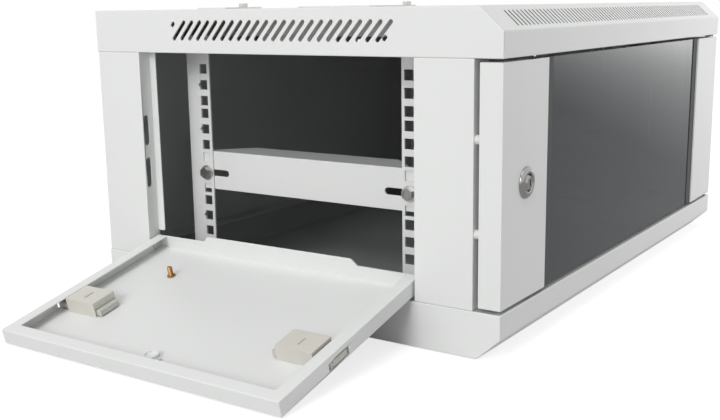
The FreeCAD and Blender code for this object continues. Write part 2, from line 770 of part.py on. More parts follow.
# The four 19 inch rails: angles with square holes in both legs.
def rack_rail(label, face, edge, inward):
    """A right-hand rail. Its rack flange is at the face and its web runs to the edge."""
    body = new_body(label)
    plan = sketch_on(body, "XY_Plane", RACK_MIDDLE)
    polygon(plan, [
        ("rail_clear_half", face),
        ("rail_web_place", face),
        ("rail_web_place", edge),
        ("rail_web_place - rail_sheet", edge),
        ("rail_web_place - rail_sheet", "%s %s rail_sheet" % (face, inward)),
        ("rail_clear_half", "%s %s rail_sheet" % (face, inward)),
    ])
    pad(body, plan, "rail_height", midplane=True)
    first = "(%s - unit_pitch * unit_count / 2 + unit_pitch / 2)" % RACK_MIDDLE
    web_column = "(%s %s (-web_hole_inset))" % (edge, inward)
    notch_column = "(%s %s (-web_hole_inset - square_hole / 2))" % (edge, inward)
    web = sketch_on(body, "YZ_Plane", "rail_web_place - rail_sheet / 2")
    flange = sketch_on(body, "XZ_Plane", "-(%s %s rail_sheet / 2)" % (face, inward))
    for sketch, column in ((web, web_column), (flange, "rack_hole_half")):
        for step in (" - unit_hole_step", "", " + unit_hole_step"):
            rectangle(
                sketch,
                (column + " - square_hole / 2", first + step + " - square_hole / 2"),
                (column + " + square_hole / 2", first + step + " + square_hole / 2"),
            )
    holes = pocket(body, web, "2 * rail_sheet", midplane=True)
    row_of(body, holes, "Z_Axis", "unit_pitch", "unit_count")
    squares = pocket(body, flange, "2 * rail_sheet", midplane=True)
    row_of(body, squares, "Z_Axis", "unit_pitch", "unit_count")
    marks = sketch_on(body, "YZ_Plane", "rail_web_place - rail_sheet / 2")
    circle(marks, (notch_column, first), "rail_notch_radius")
    notches = pocket(body, marks, "2 * rail_sheet", midplane=True)
    row_of(body, notches, "Z_Axis", "unit_pitch", "unit_count")
    ends = sketch_on(body, "YZ_Plane", "rail_web_place - rail_sheet / 2")
    for level in (" - rail_screw_place", " + rail_screw_place"):
        circle(ends, (web_column, RACK_MIDDLE + level), "bolt_radius + door_fit")
    pocket(body, ends, "2 * rail_sheet", midplane=True)
    return body


front_rail = rack_rail("rack_rail_front_right", "-front_rail_front", "-front_rail_edge", "+")
mirrored(front_rail, "rack_rail_front_left")
rear_rail = rack_rail("rack_rail_rear_right", "rear_rail_rear", "rear_rail_edge", "-")
mirrored(rear_rail, "rack_rail_rear_left")
FRONT_WEB = "(-front_rail_edge - web_hole_inset)"
REAR_WEB = "(rear_rail_edge + web_hole_inset)"


# Slotted angles under the cover and on the base floor, which carry the rails at any depth.
def depth_rail(label, crown, up):
    body = new_body(label)
    profile = sketch_on(body, "XZ_Plane", "depth_rail_front")
    seat = "(%s - %s * cap_sheet)" % (crown, up)
    polygon(profile, [
        ("rail_web_place", seat),
        ("rail_web_place + depth_rail_foot", seat),
        ("rail_web_place + depth_rail_foot", "%s - %s * depth_rail_sheet" % (seat, up)),
        ("rail_web_place + depth_rail_sheet", "%s - %s * depth_rail_sheet" % (seat, up)),
        ("rail_web_place + depth_rail_sheet", "%s - %s * depth_rail_leg" % (seat, up)),
        ("rail_web_place", "%s - %s * depth_rail_leg" % (seat, up)),
    ])
    pad(body, profile, "depth_rail_front + depth_rail_rear", backward=True)
    level = "(%s + %s * rail_screw_place)" % (RACK_MIDDLE, up)
    slots = sketch_on(body, "YZ_Plane", "rail_web_place + depth_rail_sheet / 2")
    radius = "bolt_radius + door_fit"
    short, long = "depth_rail_slot_length / 4", "depth_rail_slot_length / 2"
    slot(slots, (FRONT_WEB + " - " + short, level), (FRONT_WEB + " + " + long, level), radius)
    slot(slots, (REAR_WEB + " - " + long, level), (REAR_WEB + " + " + short, level), radius)
    pocket(body, slots, "2 * depth_rail_sheet", midplane=True)
    return body


for tier, crown, up in (("top", "cabinet_height", "1"), ("bottom", "0", "-1")):
    mirrored(depth_rail("depth_rail_%s_right" % tier, crown, up), "depth_rail_%s_left" % tier)


# Support brackets on the rails' webs, with slots for their depth.
BOLT_LEVEL = "(%s - unit_pitch / 2)" % RACK_MIDDLE
WEB_FACE = "(rail_web_place - rail_sheet)"
bracket = new_body("support_bracket_right")
upright = sketch_on(bracket, "YZ_Plane", WEB_FACE)
rectangle(upright, ("-bracket_front", "bracket_top - bracket_fall"), ("bracket_rear", "bracket_top"))
slot(
    upright,
    ("-bracket_front + bracket_slot_end + bracket_slot_height / 2", BOLT_LEVEL),
    ("-bracket_front + bracket_slot_end + bracket_slot_length - bracket_slot_height / 2", BOLT_LEVEL),
    "bracket_slot_height / 2",
)
slot(
    upright,
    ("bracket_rear - bracket_slot_end - bracket_slot_length + bracket_slot_height / 2", BOLT_LEVEL),
    ("bracket_rear - bracket_slot_end - bracket_slot_height / 2", BOLT_LEVEL),
    "bracket_slot_height / 2",
)
pad(bracket, upright, "bracket_sheet", backward=True)
shelf = sketch_on(bracket, "XY_Plane", "bracket_top")
polygon(shelf, [
    (WEB_FACE, "-shelf_front"),
    (WEB_FACE, "shelf_rear"),
    (WEB_FACE + " - bracket_shelf", "shelf_rear - bracket_clip"),
    (WEB_FACE + " - bracket_shelf", "-shelf_front + bracket_clip"),
])
pad(bracket, shelf, "bracket_sheet", backward=True)
mirrored(bracket, "support_bracket_left")


# Bolts, washers and nuts. Each stands on a web at a side, its head outboard.
def across(side, distance):
    """A place on one side of the cabinet."""
    return "%s * (%s)" % (side, distance)


SIDES = (("right", "1", "+X", "-X"), ("left", "-1", "-X", "+X"))
bolts, washers, nuts, rail_bolts, rail_nuts = [], [], [], [], []
for side_name, side, outward, inward in SIDES:
    for end_name, along in (("front", FRONT_WEB), ("rear", REAR_WEB)):
        name = "%s_%s" % (end_name, side_name)
        washer_at = (across(side, "rail_web_place"), along, BOLT_LEVEL)
        head_at = (across(side, "rail_web_place + washer_sheet"), along, BOLT_LEVEL)
        nut_at = (across(side, WEB_FACE + " - bracket_sheet"), along, BOLT_LEVEL)
        washers.append(cut(
            "washer_" + name,
            cylinder("washer_disc_" + name, "washer_radius", "washer_sheet", washer_at, outward),
            cylinder("washer_hole_" + name, "bolt_radius", "washer_sheet", washer_at, outward),
        ))
        grip = "washer_sheet + rail_sheet + bracket_sheet + nut_height"
        bolts.append(fuse(
            "bolt_" + name,
            hexagon("bolt_head_" + name, "bolt_head_radius", "bolt_head_height", head_at, outward),
            cylinder("bolt_shank_" + name, "bolt_radius", grip + " + bolt_end", head_at, inward),
        ))
        nuts.append(cut(
            "nut_" + name,
            hexagon("nut_body_" + name, "bolt_head_radius", "nut_height", nut_at, inward),
            cylinder("nut_bore_" + name, "bolt_radius", "nut_height", nut_at, inward),
        ))
        for tier, up in (("top", "+"), ("bottom", "-")):
            level = "%s %s rail_screw_place" % (RACK_MIDDLE, up)
            end = "%s_%s" % (tier, name)
            outer_at = (across(side, "rail_web_place + depth_rail_sheet"), along, level)
            inner_at = (across(side, WEB_FACE), along, level)
            stack = "depth_rail_sheet + rail_sheet + nut_height + bolt_end"
            rail_bolts.append(fuse(
                "rail_bolt_" + end,
                hexagon("rail_bolt_head_" + end, "bolt_head_radius", "bolt_head_height", outer_at, outward),
                cylinder("rail_bolt_shank_" + end, "bolt_radius", stack, outer_at, inward),
            ))
            rail_nuts.append(cut(
                "rail_nut_" + end,
                hexagon("rail_nut_body_" + end, "bolt_head_radius", "nut_height", inner_at, inward),
                cylinder("rail_nut_bore_" + end, "bolt_radius", "nut_height", inner_at, inward),
            ))
group("bracket_bolts", *bolts)
group("bracket_washers", *washers)
group("bracket_nuts", *nuts)
group("rail_bolts", *rail_bolts)
group("rail_nuts", *rail_nuts)

# Rubber stops on the left front post, which the closed door rests against.
BUMPER_X = "-(%s - bumper_inset)" % HALF_WIDTH
BUMPER_HEIGHT = "cabinet_depth / 2 - door_depth - front_post_front - door_fit"
bumpers = []
for name, level in (("upper", "bumper_upper"), ("lower", "bumper_lower")):
    bumpers.append(fuse(
        "bumper_" + name,
        cylinder("bumper_pad_" + name, "bumper_radius", BUMPER_HEIGHT,
                 (BUMPER_X, "-front_post_front", level), "-Y"),
        cylinder("bumper_stem_" + name, "bumper_stem_radius", "bumper_stem_length",
                 (BUMPER_X, "-front_post_front", level), "+Y"),
    ))
group("door_bumpers", *bumpers)


# Door: two folded steel strips on one pane of glass.
def door_strip(label, outer_edge, inner_edge, outward):
    """A strip seen in plan: a front sheet, a deep outer flange with a return, and a shallow inner edge."""
    body = new_body(label)
    sheet_back = DOOR_FRONT + " + door_sheet"
    inward_step = "%s %s door_sheet" % (outer_edge, "+" if outward == "-" else "-")
    return_end = "%s %s door_return" % (outer_edge, "+" if outward == "-" else "-")
    edge_step = "%s %s door_sheet" % (inner_edge, "-" if outward == "-" else "+")
    edge_back = DOOR_FRONT + " + strip_edge_depth"
    plan = sketch_on(body, "XY_Plane", "door_bottom")
    polygon(plan, [
        (outer_edge, DOOR_FRONT),
        (outer_edge, DOOR_BACK),
        (return_end, DOOR_BACK),
        (return_end, DOOR_BACK + " - door_sheet"),
        (inward_step, DOOR_BACK + " - door_sheet"),
        (inward_step, sheet_back),
        (edge_step, sheet_back),
        (edge_step, edge_back),
        (inner_edge, edge_back),
        (inner_edge, DOOR_FRONT),
    ])
    pad(body, plan, "door_top - door_bottom")
    end_inner = "%s %s (glass_lap + clamp_foot + clamp_sheet)" % (inner_edge, "-" if outward == "-" else "+")
    for level, backward in (("door_bottom", False), ("door_top", True)):
        end = sketch_on(body, "XY_Plane", level)
        polygon(end, [
            (outer_edge, DOOR_FRONT),
            (end_inner, DOOR_FRONT),
            (end_inner, DOOR_BACK),
            (outer_edge, DOOR_BACK),
        ])
        pad(body, end, "door_sheet", backward=backward)
    return body


lock_strip = door_strip("door_lock_strip", DOOR_LEFT, LOCK_STRIP_EDGE, "-")
lock_hole = sketch_on(lock_strip, "XZ_Plane", "cabinet_depth / 2")
circle(lock_hole, ("-lock_place", "lock_height"), "lock_barrel_radius")
pocket(lock_strip, lock_hole, "4 * door_sheet", midplane=True)
hinge_strip = door_strip("door_hinge_strip", DOOR_RIGHT, HINGE_STRIP_EDGE, "+")
pin_holes = sketch_on(hinge_strip, "XY_Plane", RACK_MIDDLE)
circle(pin_holes, ("hinge_place", "-hinge_setback"), "hinge_pin_radius")
pocket(hinge_strip, pin_holes, "cabinet_height", midplane=True)

GLASS_LEFT = LOCK_STRIP_EDGE + " - glass_lap"
GLASS_RIGHT = HINGE_STRIP_EDGE + " + glass_lap"
door_glass = keep(box(
    "door_glass",
    ("%s - (%s)" % (GLASS_RIGHT, GLASS_LEFT), "glass_thickness", "door_top - door_bottom"),
    (GLASS_LEFT, GLASS_FRONT, "door_bottom"),
), "door_glass")


def glass_seal(name, edge, outward):
    """A tape between the strip and the pane, with a lip that lies on the pane beside the strip."""
    body = doc.addObject("PartDesign::Body", name)
    plan = sketch_on(body, "XY_Plane", "door_bottom")
    step = "%s %s door_sheet" % (edge, outward)
    deep = "%s %s glass_lap" % (edge, outward)
    free = "%s %s seal_lip" % (edge, "-" if outward == "+" else "+")
    polygon(plan, [
        (deep, DOOR_FRONT + " + door_sheet"),
        (step, DOOR_FRONT + " + door_sheet"),
        (step, DOOR_FRONT + " + strip_edge_depth"),
        (free, DOOR_FRONT + " + strip_edge_depth"),
        (free, GLASS_FRONT),
        (deep, GLASS_FRONT),
    ])
    pad(body, plan, "door_top - door_bottom")
    return body


group(
    "glass_seals",
    glass_seal("lock_side_seal", LOCK_STRIP_EDGE, "-"),
    glass_seal("hinge_side_seal", HINGE_STRIP_EDGE, "+"),
)


def glass_clamp(label, edge, outward):
    """A folded strip welded to the door strip, whose toe lies behind the pane."""
    body = new_body(label)
    foot = "%s %s (glass_lap + clamp_foot)" % (edge, outward)
    web = "%s %s (glass_lap + clamp_sheet + door_fit)" % (edge, outward)
    web_inner = "%s %s (glass_lap + door_fit)" % (edge, outward)
    plan = sketch_on(body, "XY_Plane", "door_bottom + 2 * door_sheet")
    polygon(plan, [
        (foot, DOOR_FRONT + " + door_sheet"),
        (web_inner, DOOR_FRONT + " + door_sheet"),
        (web_inner, GLASS_BACK),
        (edge, GLASS_BACK),
        (edge, GLASS_BACK + " + clamp_sheet"),
        (web, GLASS_BACK + " + clamp_sheet"),
        (web, DOOR_FRONT + " + door_sheet + clamp_sheet"),
        (foot, DOOR_FRONT + " + door_sheet + clamp_sheet"),
    ])
    pad(body, plan, "door_top - door_bottom - 4 * door_sheet")
    return body


glass_clamp("glass_clamp_lock_side", LOCK_STRIP_EDGE, "-")
glass_clamp("glass_clamp_hinge_side", HINGE_STRIP_EDGE, "+")


# Hinge pins in the door strip, and the bushes that they turn in.
def hinge_set(name, door_end, rim, direction, inward):
    pin_length = "hinge_pin_overlap + bush_length + abs(%s - %s)" % (rim, door_end)
    start = "%s %s hinge_pin_overlap" % (door_end, "-" if direction == "+Z" else "+")
    spot = ("hinge_place", "-hinge_setback")
    pin = cylinder("pin_" + name, "hinge_pin_radius", pin_length, (*spot, start), direction)
    barrel = cylinder("bush_barrel_" + name, "bush_radius", "bush_length", (*spot, rim), direction)
    collar = cylinder("bush_collar_" + name, "bush_flange_radius", "bush_flange_height", (*spot, rim), inward)
    body = fuse("bush_body_" + name, barrel, collar)
    bore_start = "%s %s bush_flange_height" % (rim, "-" if direction == "+Z" else "+")
    bore = cylinder("bush_bore_" + name, "hinge_pin_radius + running_fit",
                    "bush_length + bush_flange_height", (*spot, bore_start), direction)
    return pin, cut("bush_" + name, body, bore)


upper_pin, upper_bush = hinge_set("upper", "door_top", TOP_RIM, "+Z", "-Z")
lower_pin, lower_bush = hinge_set("lower", "door_bottom", BOTTOM_RIM, "-Z", "+Z")
group("door_hinge_pins", upper_pin, lower_pin)
group("hinge_bushes", upper_bush, lower_bush)

# Cam lock: a barrel in the door strip, a plug that turns in it, and the cam behind the post flange.
LOCK_AXIS = ("-lock_place", "lock_height")
lock_body = new_body("lock_body")
flange = sketch_on(lock_body, "XZ_Plane", "cabinet_depth / 2")
circle(flange, LOCK_AXIS, "lock_flange_radius")
pad(lock_body, flange, "lock_flange_height")
barrel = sketch_on(lock_body, "XZ_Plane", "cabinet_depth / 2")
circle(barrel, LOCK_AXIS, "lock_barrel_radius")
pad(lock_body, barrel, "cabinet_depth / 2 - lock_barrel_reach", backward=True)
bore = sketch_on(lock_body, "XZ_Plane", "lock_barrel_reach")
circle(bore, LOCK_AXIS, "lock_plug_radius + running_fit")
pocket(lock_body, bore, "cabinet_depth", midplane=True)

lock_nut = new_body("lock_nut")
nut_plan = sketch_on(lock_nut, "XZ_Plane", "cabinet_depth / 2 - door_sheet - lock_nut_height")
corners = []
for turn in range(6):
    corners.append((
        "-lock_place + lock_nut_radius * cos(%d)" % (turn * 60),
        "lock_height + lock_nut_radius * sin(%d)" % (turn * 60),
    ))
polygon(nut_plan, corners)
circle(nut_plan, LOCK_AXIS, "lock_barrel_radius")
pad(lock_nut, nut_plan, "lock_nut_height")

PLUG_FRONT = "cabinet_depth / 2 + lock_flange_height + lock_plug_rise"
lock_plug = new_body("lock_plug")
plug_end = sketch_on(lock_plug, "XZ_Plane", "lock_barrel_reach - cam_gap")
circle(plug_end, LOCK_AXIS, "lock_plug_radius")
pad(lock_plug, plug_end, PLUG_FRONT + " - lock_barrel_reach + cam_gap")
key_slot = sketch_on(lock_plug, "XZ_Plane", PLUG_FRONT)
rectangle(
    key_slot,
    ("-lock_place - key_slot_width / 2", "lock_height - key_slot_length / 2"),
    ("-lock_place + key_slot_width / 2", "lock_height + key_slot_length / 2"),
)
pocket(lock_plug, key_slot, "key_slot_depth")

lock_cam = new_body("lock_cam")
cam_plan = sketch_on(lock_cam, "XZ_Plane", "lock_barrel_reach - cam_gap")
slot(
    cam_plan,
    ("-lock_place", "lock_height"),
    ("-lock_place", "lock_height - cam_reach + cam_width / 2"),
    "cam_width / 2",
)
circle(cam_plan, LOCK_AXIS, "cam_screw_radius")
pad(lock_cam, cam_plan, "cam_sheet", backward=True)

CAM_BACK = "(-lock_barrel_reach + cam_gap + cam_sheet)"
CAM_AT = ("-lock_place", CAM_BACK, "lock_height")
keep(fuse(
    "cam_screw",
    cylinder("cam_screw_head", "cam_screw_head_radius", "cam_screw_head_height", CAM_AT, "+Y"),
    cylinder("cam_screw_shank", "cam_screw_radius", "cam_sheet", CAM_AT, "-Y"),
), "cam_screw")


# Side panels. Each is drawn about its pivot: +X is outward, +Z is up the panel, Y runs along it.
# The right panel is shut. The left one is the same panel turned end for end and tipped open.
PIVOT_X = "(cabinet_width / 2 - panel_pivot_inset)"
PIVOT_Z = "(panel_bottom + panel_pivot_rise)"
OPEN_AXIS = "vector(-sin(panel_open_angle / 2); 0; cos(panel_open_angle / 2))"
PANEL_PLACE = {
    "right": "placement(vector(%s; panel_center; %s); rotation(vector(0; 0; 1); 0))" % (PIVOT_X, PIVOT_Z),
    "left": "placement(vector(-%s; panel_center; %s); rotation(%s; 180))" % (PIVOT_X, PIVOT_Z, OPEN_AXIS),
}
PANEL_ENDS = {
    "right": (("rear", "+"), ("front", "-")),
    "left": (("front", "+"), ("rear", "-")),
}
FACE = "panel_pivot_inset"
FOOT = "(-panel_pivot_rise)"
PANEL_HALF = "(panel_length / 2)"
INNER = "(panel_pivot_inset - panel_depth)"
HOUSING_MIDDLE = "(panel_length / 2 - housing_inset - housing_length / 2)"
LATCH_LEVEL = "(housing_center_rise - panel_pivot_rise)"
SHEET_FACE = "(panel_pivot_inset - panel_sheet)"
SLIDER_BACK = "(panel_pivot_inset - slider_inset - slider_thickness)"


def set_on_panel(thing, side):
    """Put an object that is drawn about the panel's pivot where its panel is."""
    thing.setExpression("Placement", bound(PANEL_PLACE[side]))
    return thing


def side_panel(side):
    """A folded tray with inward lips, a low bottom flange and a tongue behind it."""
    body = new_body("side_panel_" + side)
    outline = sketch_on(body, "YZ_Plane", INNER)
    rectangle(outline, ("-" + PANEL_HALF, FOOT), (PANEL_HALF, FOOT + " + panel_height"))
    pad(body, outline, "panel_depth")
    hollow = sketch_on(body, "YZ_Plane", INNER + " + panel_sheet")
    rectangle(
        hollow,
        ("panel_sheet - " + PANEL_HALF, FOOT + " + panel_sheet"),
        (PANEL_HALF + " - panel_sheet", FOOT + " + panel_height - panel_sheet"),
    )
    pocket(body, hollow, "panel_depth - 2 * panel_sheet", forward=True)
    mouth = sketch_on(body, "YZ_Plane", INNER)
    rectangle(
        mouth,
        ("panel_lip - " + PANEL_HALF, FOOT + " + panel_sheet"),
        (PANEL_HALF + " - panel_lip", FOOT + " + panel_height - panel_lip"),
    )
    pocket(body, mouth, "panel_sheet", forward=True)
    tongue = sketch_on(body, "XY_Plane", FOOT)
    polygon(tongue, [
        (INNER, "-tongue_length / 2"),
        (INNER, "tongue_length / 2"),
        (INNER + " - tongue_rise", "tongue_length / 2 - tongue_rise"),
        (INNER + " - tongue_rise", "tongue_rise - tongue_length / 2"),
    ])
    pad(body, tongue, "panel_sheet")
    ends = sketch_on(body, "XZ_Plane")
    rectangle(
        ends,
        (FACE + " - latch_cut_inset - latch_cut_width", LATCH_LEVEL + " - latch_cut_height / 2"),
        (FACE + " - latch_cut_inset", LATCH_LEVEL + " + latch_cut_height / 2"),
    )
    circle(ends, ("0", "0"), "panel_pin_radius")
    pocket(body, ends, "2 * panel_length", midplane=True)
    plug_hole = sketch_on(body, "YZ_Plane", SHEET_FACE)
    circle(plug_hole, ("0", FOOT + " + plug_rise"), "plug_radius")
    pocket(body, plug_hole, "4 * panel_sheet", midplane=True)
    return set_on_panel(body, side)


def panel_pin(name, side, end):
    """A stub through one end flange of the panel, into the post. Its head is inside the panel."""
    body = doc.addObject("PartDesign::Body", name)
    backward = end == "+"
    flange_inside = "%s1 * (panel_sheet - %s)" % (end, PANEL_HALF)
    stub = sketch_on(body, "XZ_Plane", flange_inside)
    circle(stub, ("0", "0"), "panel_pin_radius")
    pad(body, stub, "panel_sheet + panel_pin_overlap", backward=backward)
    head = sketch_on(body, "XZ_Plane", flange_inside)
    circle(head, ("0", "0"), "panel_pin_head")
    pad(body, head, "panel_pin_head_height", backward=not backward)
    return set_on_panel(body, side)


def latch_housing(side, end_name, end):
    """A plastic guide on the panel sheet, open at both ends, with a slit moulded in its roof."""
    body = new_body("latch_housing_%s_%s" % (side, end_name))
    middle = "(%s1 * %s)" % (end, HOUSING_MIDDLE)
    low = middle + " - housing_length / 2"
    high = middle + " + housing_length / 2"
    block = sketch_on(body, "YZ_Plane", SHEET_FACE + " - housing_rise")
    rectangle(
        block,
        (low, LATCH_LEVEL + " - housing_height / 2"),
        (high, LATCH_LEVEL + " + housing_height / 2"),
    )
    pad(body, block, "housing_rise")
    channel = sketch_on(body, "XZ_Plane")
    rectangle(
        channel,
        (SLIDER_BACK + " - latch_fit", LATCH_LEVEL + " - slider_height / 2 - latch_fit"),
        (FACE + " - slider_inset + latch_fit", LATCH_LEVEL + " + slider_height / 2 + latch_fit"),
    )
    pocket(body, channel, "2 * panel_length", midplane=True)
    slit = sketch_on(body, "YZ_Plane", SHEET_FACE + " - housing_rise")
    rectangle(
        slit,
        (middle + " - slit_width / 2", LATCH_LEVEL + " - slit_length / 2"),
        (middle + " + slit_width / 2", LATCH_LEVEL + " + slit_length / 2"),
    )
    pocket(body, slit, "slit_depth", forward=True)
    return set_on_panel(body, side)


def latch_slider(side, end_name, end):
    """The tongue that slides through the panel's end flange. Its tail is the finger pull.

    The left ones are drawn with their tips flush with the flange, and the right ones drawn right back.
    """
    body = new_body("latch_slider_%s_%s" % (side, end_name))
    bar = sketch_on(body, "YZ_Plane", SLIDER_BACK)
    reach = PANEL_HALF + (" - latch_rest_back" if side == "right" else "")
    tip = "(%s1 * (%s))" % (end, reach)
    tail = "(%s1 * (%s - slider_length))" % (end, reach)
    rectangle(bar, (tail, LATCH_LEVEL + " - slider_height / 2"), (tip, LATCH_LEVEL + " + slider_height / 2"))
    pad(body, bar, "slider_thickness")
    return set_on_panel(body, side)


for side in ("left", "right"):
    side_panel(side)
    stubs = [panel_pin(end_name + "_stub_" + side, side, end) for end_name, end in PANEL_ENDS[side]]
    group("panel_pivot_pins_" + side, *stubs)
    stud = new_body("ground_stud_" + side)
    for radius, rise in (("stud_base_radius", "stud_base_height"), ("stud_radius", "stud_height")):
        stud_round = sketch_on(stud, "YZ_Plane", SHEET_FACE)
        circle(stud_round, ("-stud_offset", FOOT + " + stud_rise"), radius)
        pad(stud, stud_round, rise, backward=True)
    set_on_panel(stud, side)
    plug = new_body("panel_plug_" + side)
    for radius, start, length in (
        ("plug_radius", FACE, "plug_depth + panel_sheet"),
        ("plug_head_radius", SHEET_FACE, "plug_head_height"),
    ):
        disc = sketch_on(plug, "YZ_Plane", start)
        circle(disc, ("0", FOOT + " + plug_rise"), radius)
        pad(plug, disc, length, backward=True)
    set_on_panel(plug, side)
    for end_name, end in PANEL_ENDS[side]:
        latch_housing(side, end_name, end)
        latch_slider(side, end_name, end)

doc.recompute()
faults = []
for thing in doc.Objects:
    if "Invalid" in thing.State or "Error" in thing.State:
        faults.append("%s is %s" % (thing.Label, thing.State))
for piece in PIECES:
    if piece.Shape.isNull() or not piece.Shape.isValid():
        faults.append("%s has no valid shape" % piece.Label)
if faults:
    raise RuntimeError("; ".join(faults))
os.makedirs("parts", exist_ok=True)
for piece in PIECES:
    piece.Shape.exportStep("parts/%s.step" % piece.Label)
print("%d nodes" % len(PIECES))
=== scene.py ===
"""A wall-mount rack cabinet, dressed for the studio: paint, glass, plated parts and moulded parts."""
import math

import bpy
from mathutils import Matrix, Vector


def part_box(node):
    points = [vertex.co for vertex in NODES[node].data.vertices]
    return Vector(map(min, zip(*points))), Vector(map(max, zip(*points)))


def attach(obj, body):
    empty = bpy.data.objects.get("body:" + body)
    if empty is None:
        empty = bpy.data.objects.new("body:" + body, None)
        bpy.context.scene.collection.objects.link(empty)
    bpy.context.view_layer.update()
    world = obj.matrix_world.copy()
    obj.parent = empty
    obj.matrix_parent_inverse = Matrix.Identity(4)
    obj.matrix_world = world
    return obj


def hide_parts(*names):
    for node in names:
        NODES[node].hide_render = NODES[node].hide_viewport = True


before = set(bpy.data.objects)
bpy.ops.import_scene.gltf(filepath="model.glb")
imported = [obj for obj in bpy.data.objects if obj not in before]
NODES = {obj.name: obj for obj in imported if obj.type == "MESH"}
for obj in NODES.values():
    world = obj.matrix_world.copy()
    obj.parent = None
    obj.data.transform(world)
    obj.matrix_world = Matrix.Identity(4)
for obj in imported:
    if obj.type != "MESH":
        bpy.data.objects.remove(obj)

bl_info = {
    "name": "Rack cabinet",
    "version": (1, 0, 0),
    "blender": (4, 5, 0),
    "location": "View3D > Sidebar > Cabinet",
    "description": "Finishes and details of a wall-mount rack cabinet",
    "category": "Object",
}

SIDES = ("left", "right")
ENDS = ("front", "rear")
OPPOSITE = {"front": "rear", "rear": "front"}


# Sizes and colours that a user would change.
def length(name, description, default):
    """A length in metres."""
    return bpy.props.FloatProperty(
        name=name, description=description, default=default, min=0.0, soft_max=1.0, precision=5,
        subtype="DISTANCE", unit="LENGTH",
    )


def colour(name, description, default):
    """A linear colour."""
    return bpy.props.FloatVectorProperty(
        name=name, description=description, default=default, size=3, min=0.0, max=1.0, subtype="COLOR",
    )


class CabinetSizes(bpy.types.PropertyGroup):
    """Sizes of the details."""

    fold_radius: length("Fold radius", "Outer radius of the folded sheet edges", 0.0009)
    panel_fold_radius: length("Panel fold radius", "Outer radius of the side panels' folds", 0.0008)
    door_fold_radius: length("Door fold radius", "Outer radius of the door strips' folds", 0.0009)
    long_edge: length("Long edge", "Shortest straight edge that counts as a fold", 0.012)
    plastic_radius: length("Plastic radius", "Edge radius of the moulded latch parts", 0.0007)
    glass_edge: length("Glass edge", "Ground bevel on the edges of the pane", 0.0006)
    plate_radius: length("Plate radius", "Edge radius of plated parts", 0.0003)
    screw_radius: length("Screw radius", "Edge radius of screws, nuts and washers", 0.00025)
    dish_radius: length("Dish radius", "Radius of the dish in a bolt head", 0.0037)
    dish_depth: length("Dish depth", "Depth of the dish in a bolt head", 0.0007)
    cross_reach: length("Cross reach", "Half the span of a cross recess", 0.0024)
    cross_width: length("Cross width", "Width of a cross recess", 0.001)
    cross_depth: length("Cross depth", "Depth of a cross recess", 0.0013)
    vent_radius: length("Vent radius", "Half the width of the short vent slots", 0.002)
    seam_width: length("Seam width", "Width of the seams beside the slope", 0.0005)
    seam_depth: length("Seam depth", "Depth of the seams beside the slope", 0.0007)
    dot_radius: length("Dot radius", "Radius of the two dots on a latch tongue", 0.0008)
    recess_radius: length("Plug recess", "Radius of the hollow in a panel plug", 0.0052)
    pilot_radius: length("Pilot hole", "Radius of the small hole beside the plug", 0.0018)
    stop_radius: length("Stop radius", "Edge radius of the door stops", 0.0012)


class CabinetColours(bpy.types.PropertyGroup):
    """Colours of the finishes."""

    paint: colour("Paint", "Light grey powder coat", (0.80, 0.81, 0.80))
    # Painted shade: a darker paint on the casing's inner faces, where the inside lies in shade.
    inner_shade: colour("Inner paint", "Dark inner faces of the casing", (0.50, 0.515, 0.51))
    # Painted shade: a near-black on the side walls of the slots in the slope, which lie in shade.
    slot_shade: colour("Slot edge", "Dark punched edges in the slope", (0.11, 0.113, 0.11))
    bolt: colour("Bolt", "Darker plate on the bracket bolts", (0.36, 0.36, 0.35))
    zinc: colour("Zinc", "Zinc plate on fasteners", (0.62, 0.62, 0.60))
    bright: colour("Bright plate", "Bright plate on the lock", (0.40, 0.39, 0.38))
    glass: colour("Glass", "Smoked pane", (0.050, 0.056, 0.061))
    rubber: colour("Rubber", "Dark grey seals", (0.09, 0.092, 0.096))
    stop: colour("Door stop", "Pale elastomer stops", (0.74, 0.74, 0.71))
    housing: colour("Latch housing", "Cream moulded housings", (0.66, 0.64, 0.58))
    slider: colour("Latch slider", "Pale grey moulded sliders", (0.56, 0.56, 0.52))
    bush: colour("Bush", "Dark moulded bushes", (0.05, 0.05, 0.052))
    brass: colour("Brass", "Dull brass stud", (0.42, 0.24, 0.10))


# Shader maths as plain expressions.
class Value:
    """A shader socket that takes part in Python arithmetic."""

    def __init__(self, graph, socket):
        self.graph = graph
        self.socket = socket

    def maths(self, operation, first, second):
        """The result of a Math node on two values."""
        node = self.graph.node("ShaderNodeMath", {"operation": operation}, first, second)
        return self.graph.value(node)

    def __add__(self, other):
        return self.maths("ADD", self, other)

    def __sub__(self, other):
        return self.maths("SUBTRACT", self, other)

    def __rsub__(self, other):
        return self.maths("SUBTRACT", other, self)

    def __mul__(self, other):
        return self.maths("MULTIPLY", self, other)

    def __truediv__(self, other):
        return self.maths("DIVIDE", self, other)

    def __rtruediv__(self, other):
        return self.maths("DIVIDE", other, self)

    __radd__ = __add__
    __rmul__ = __mul__


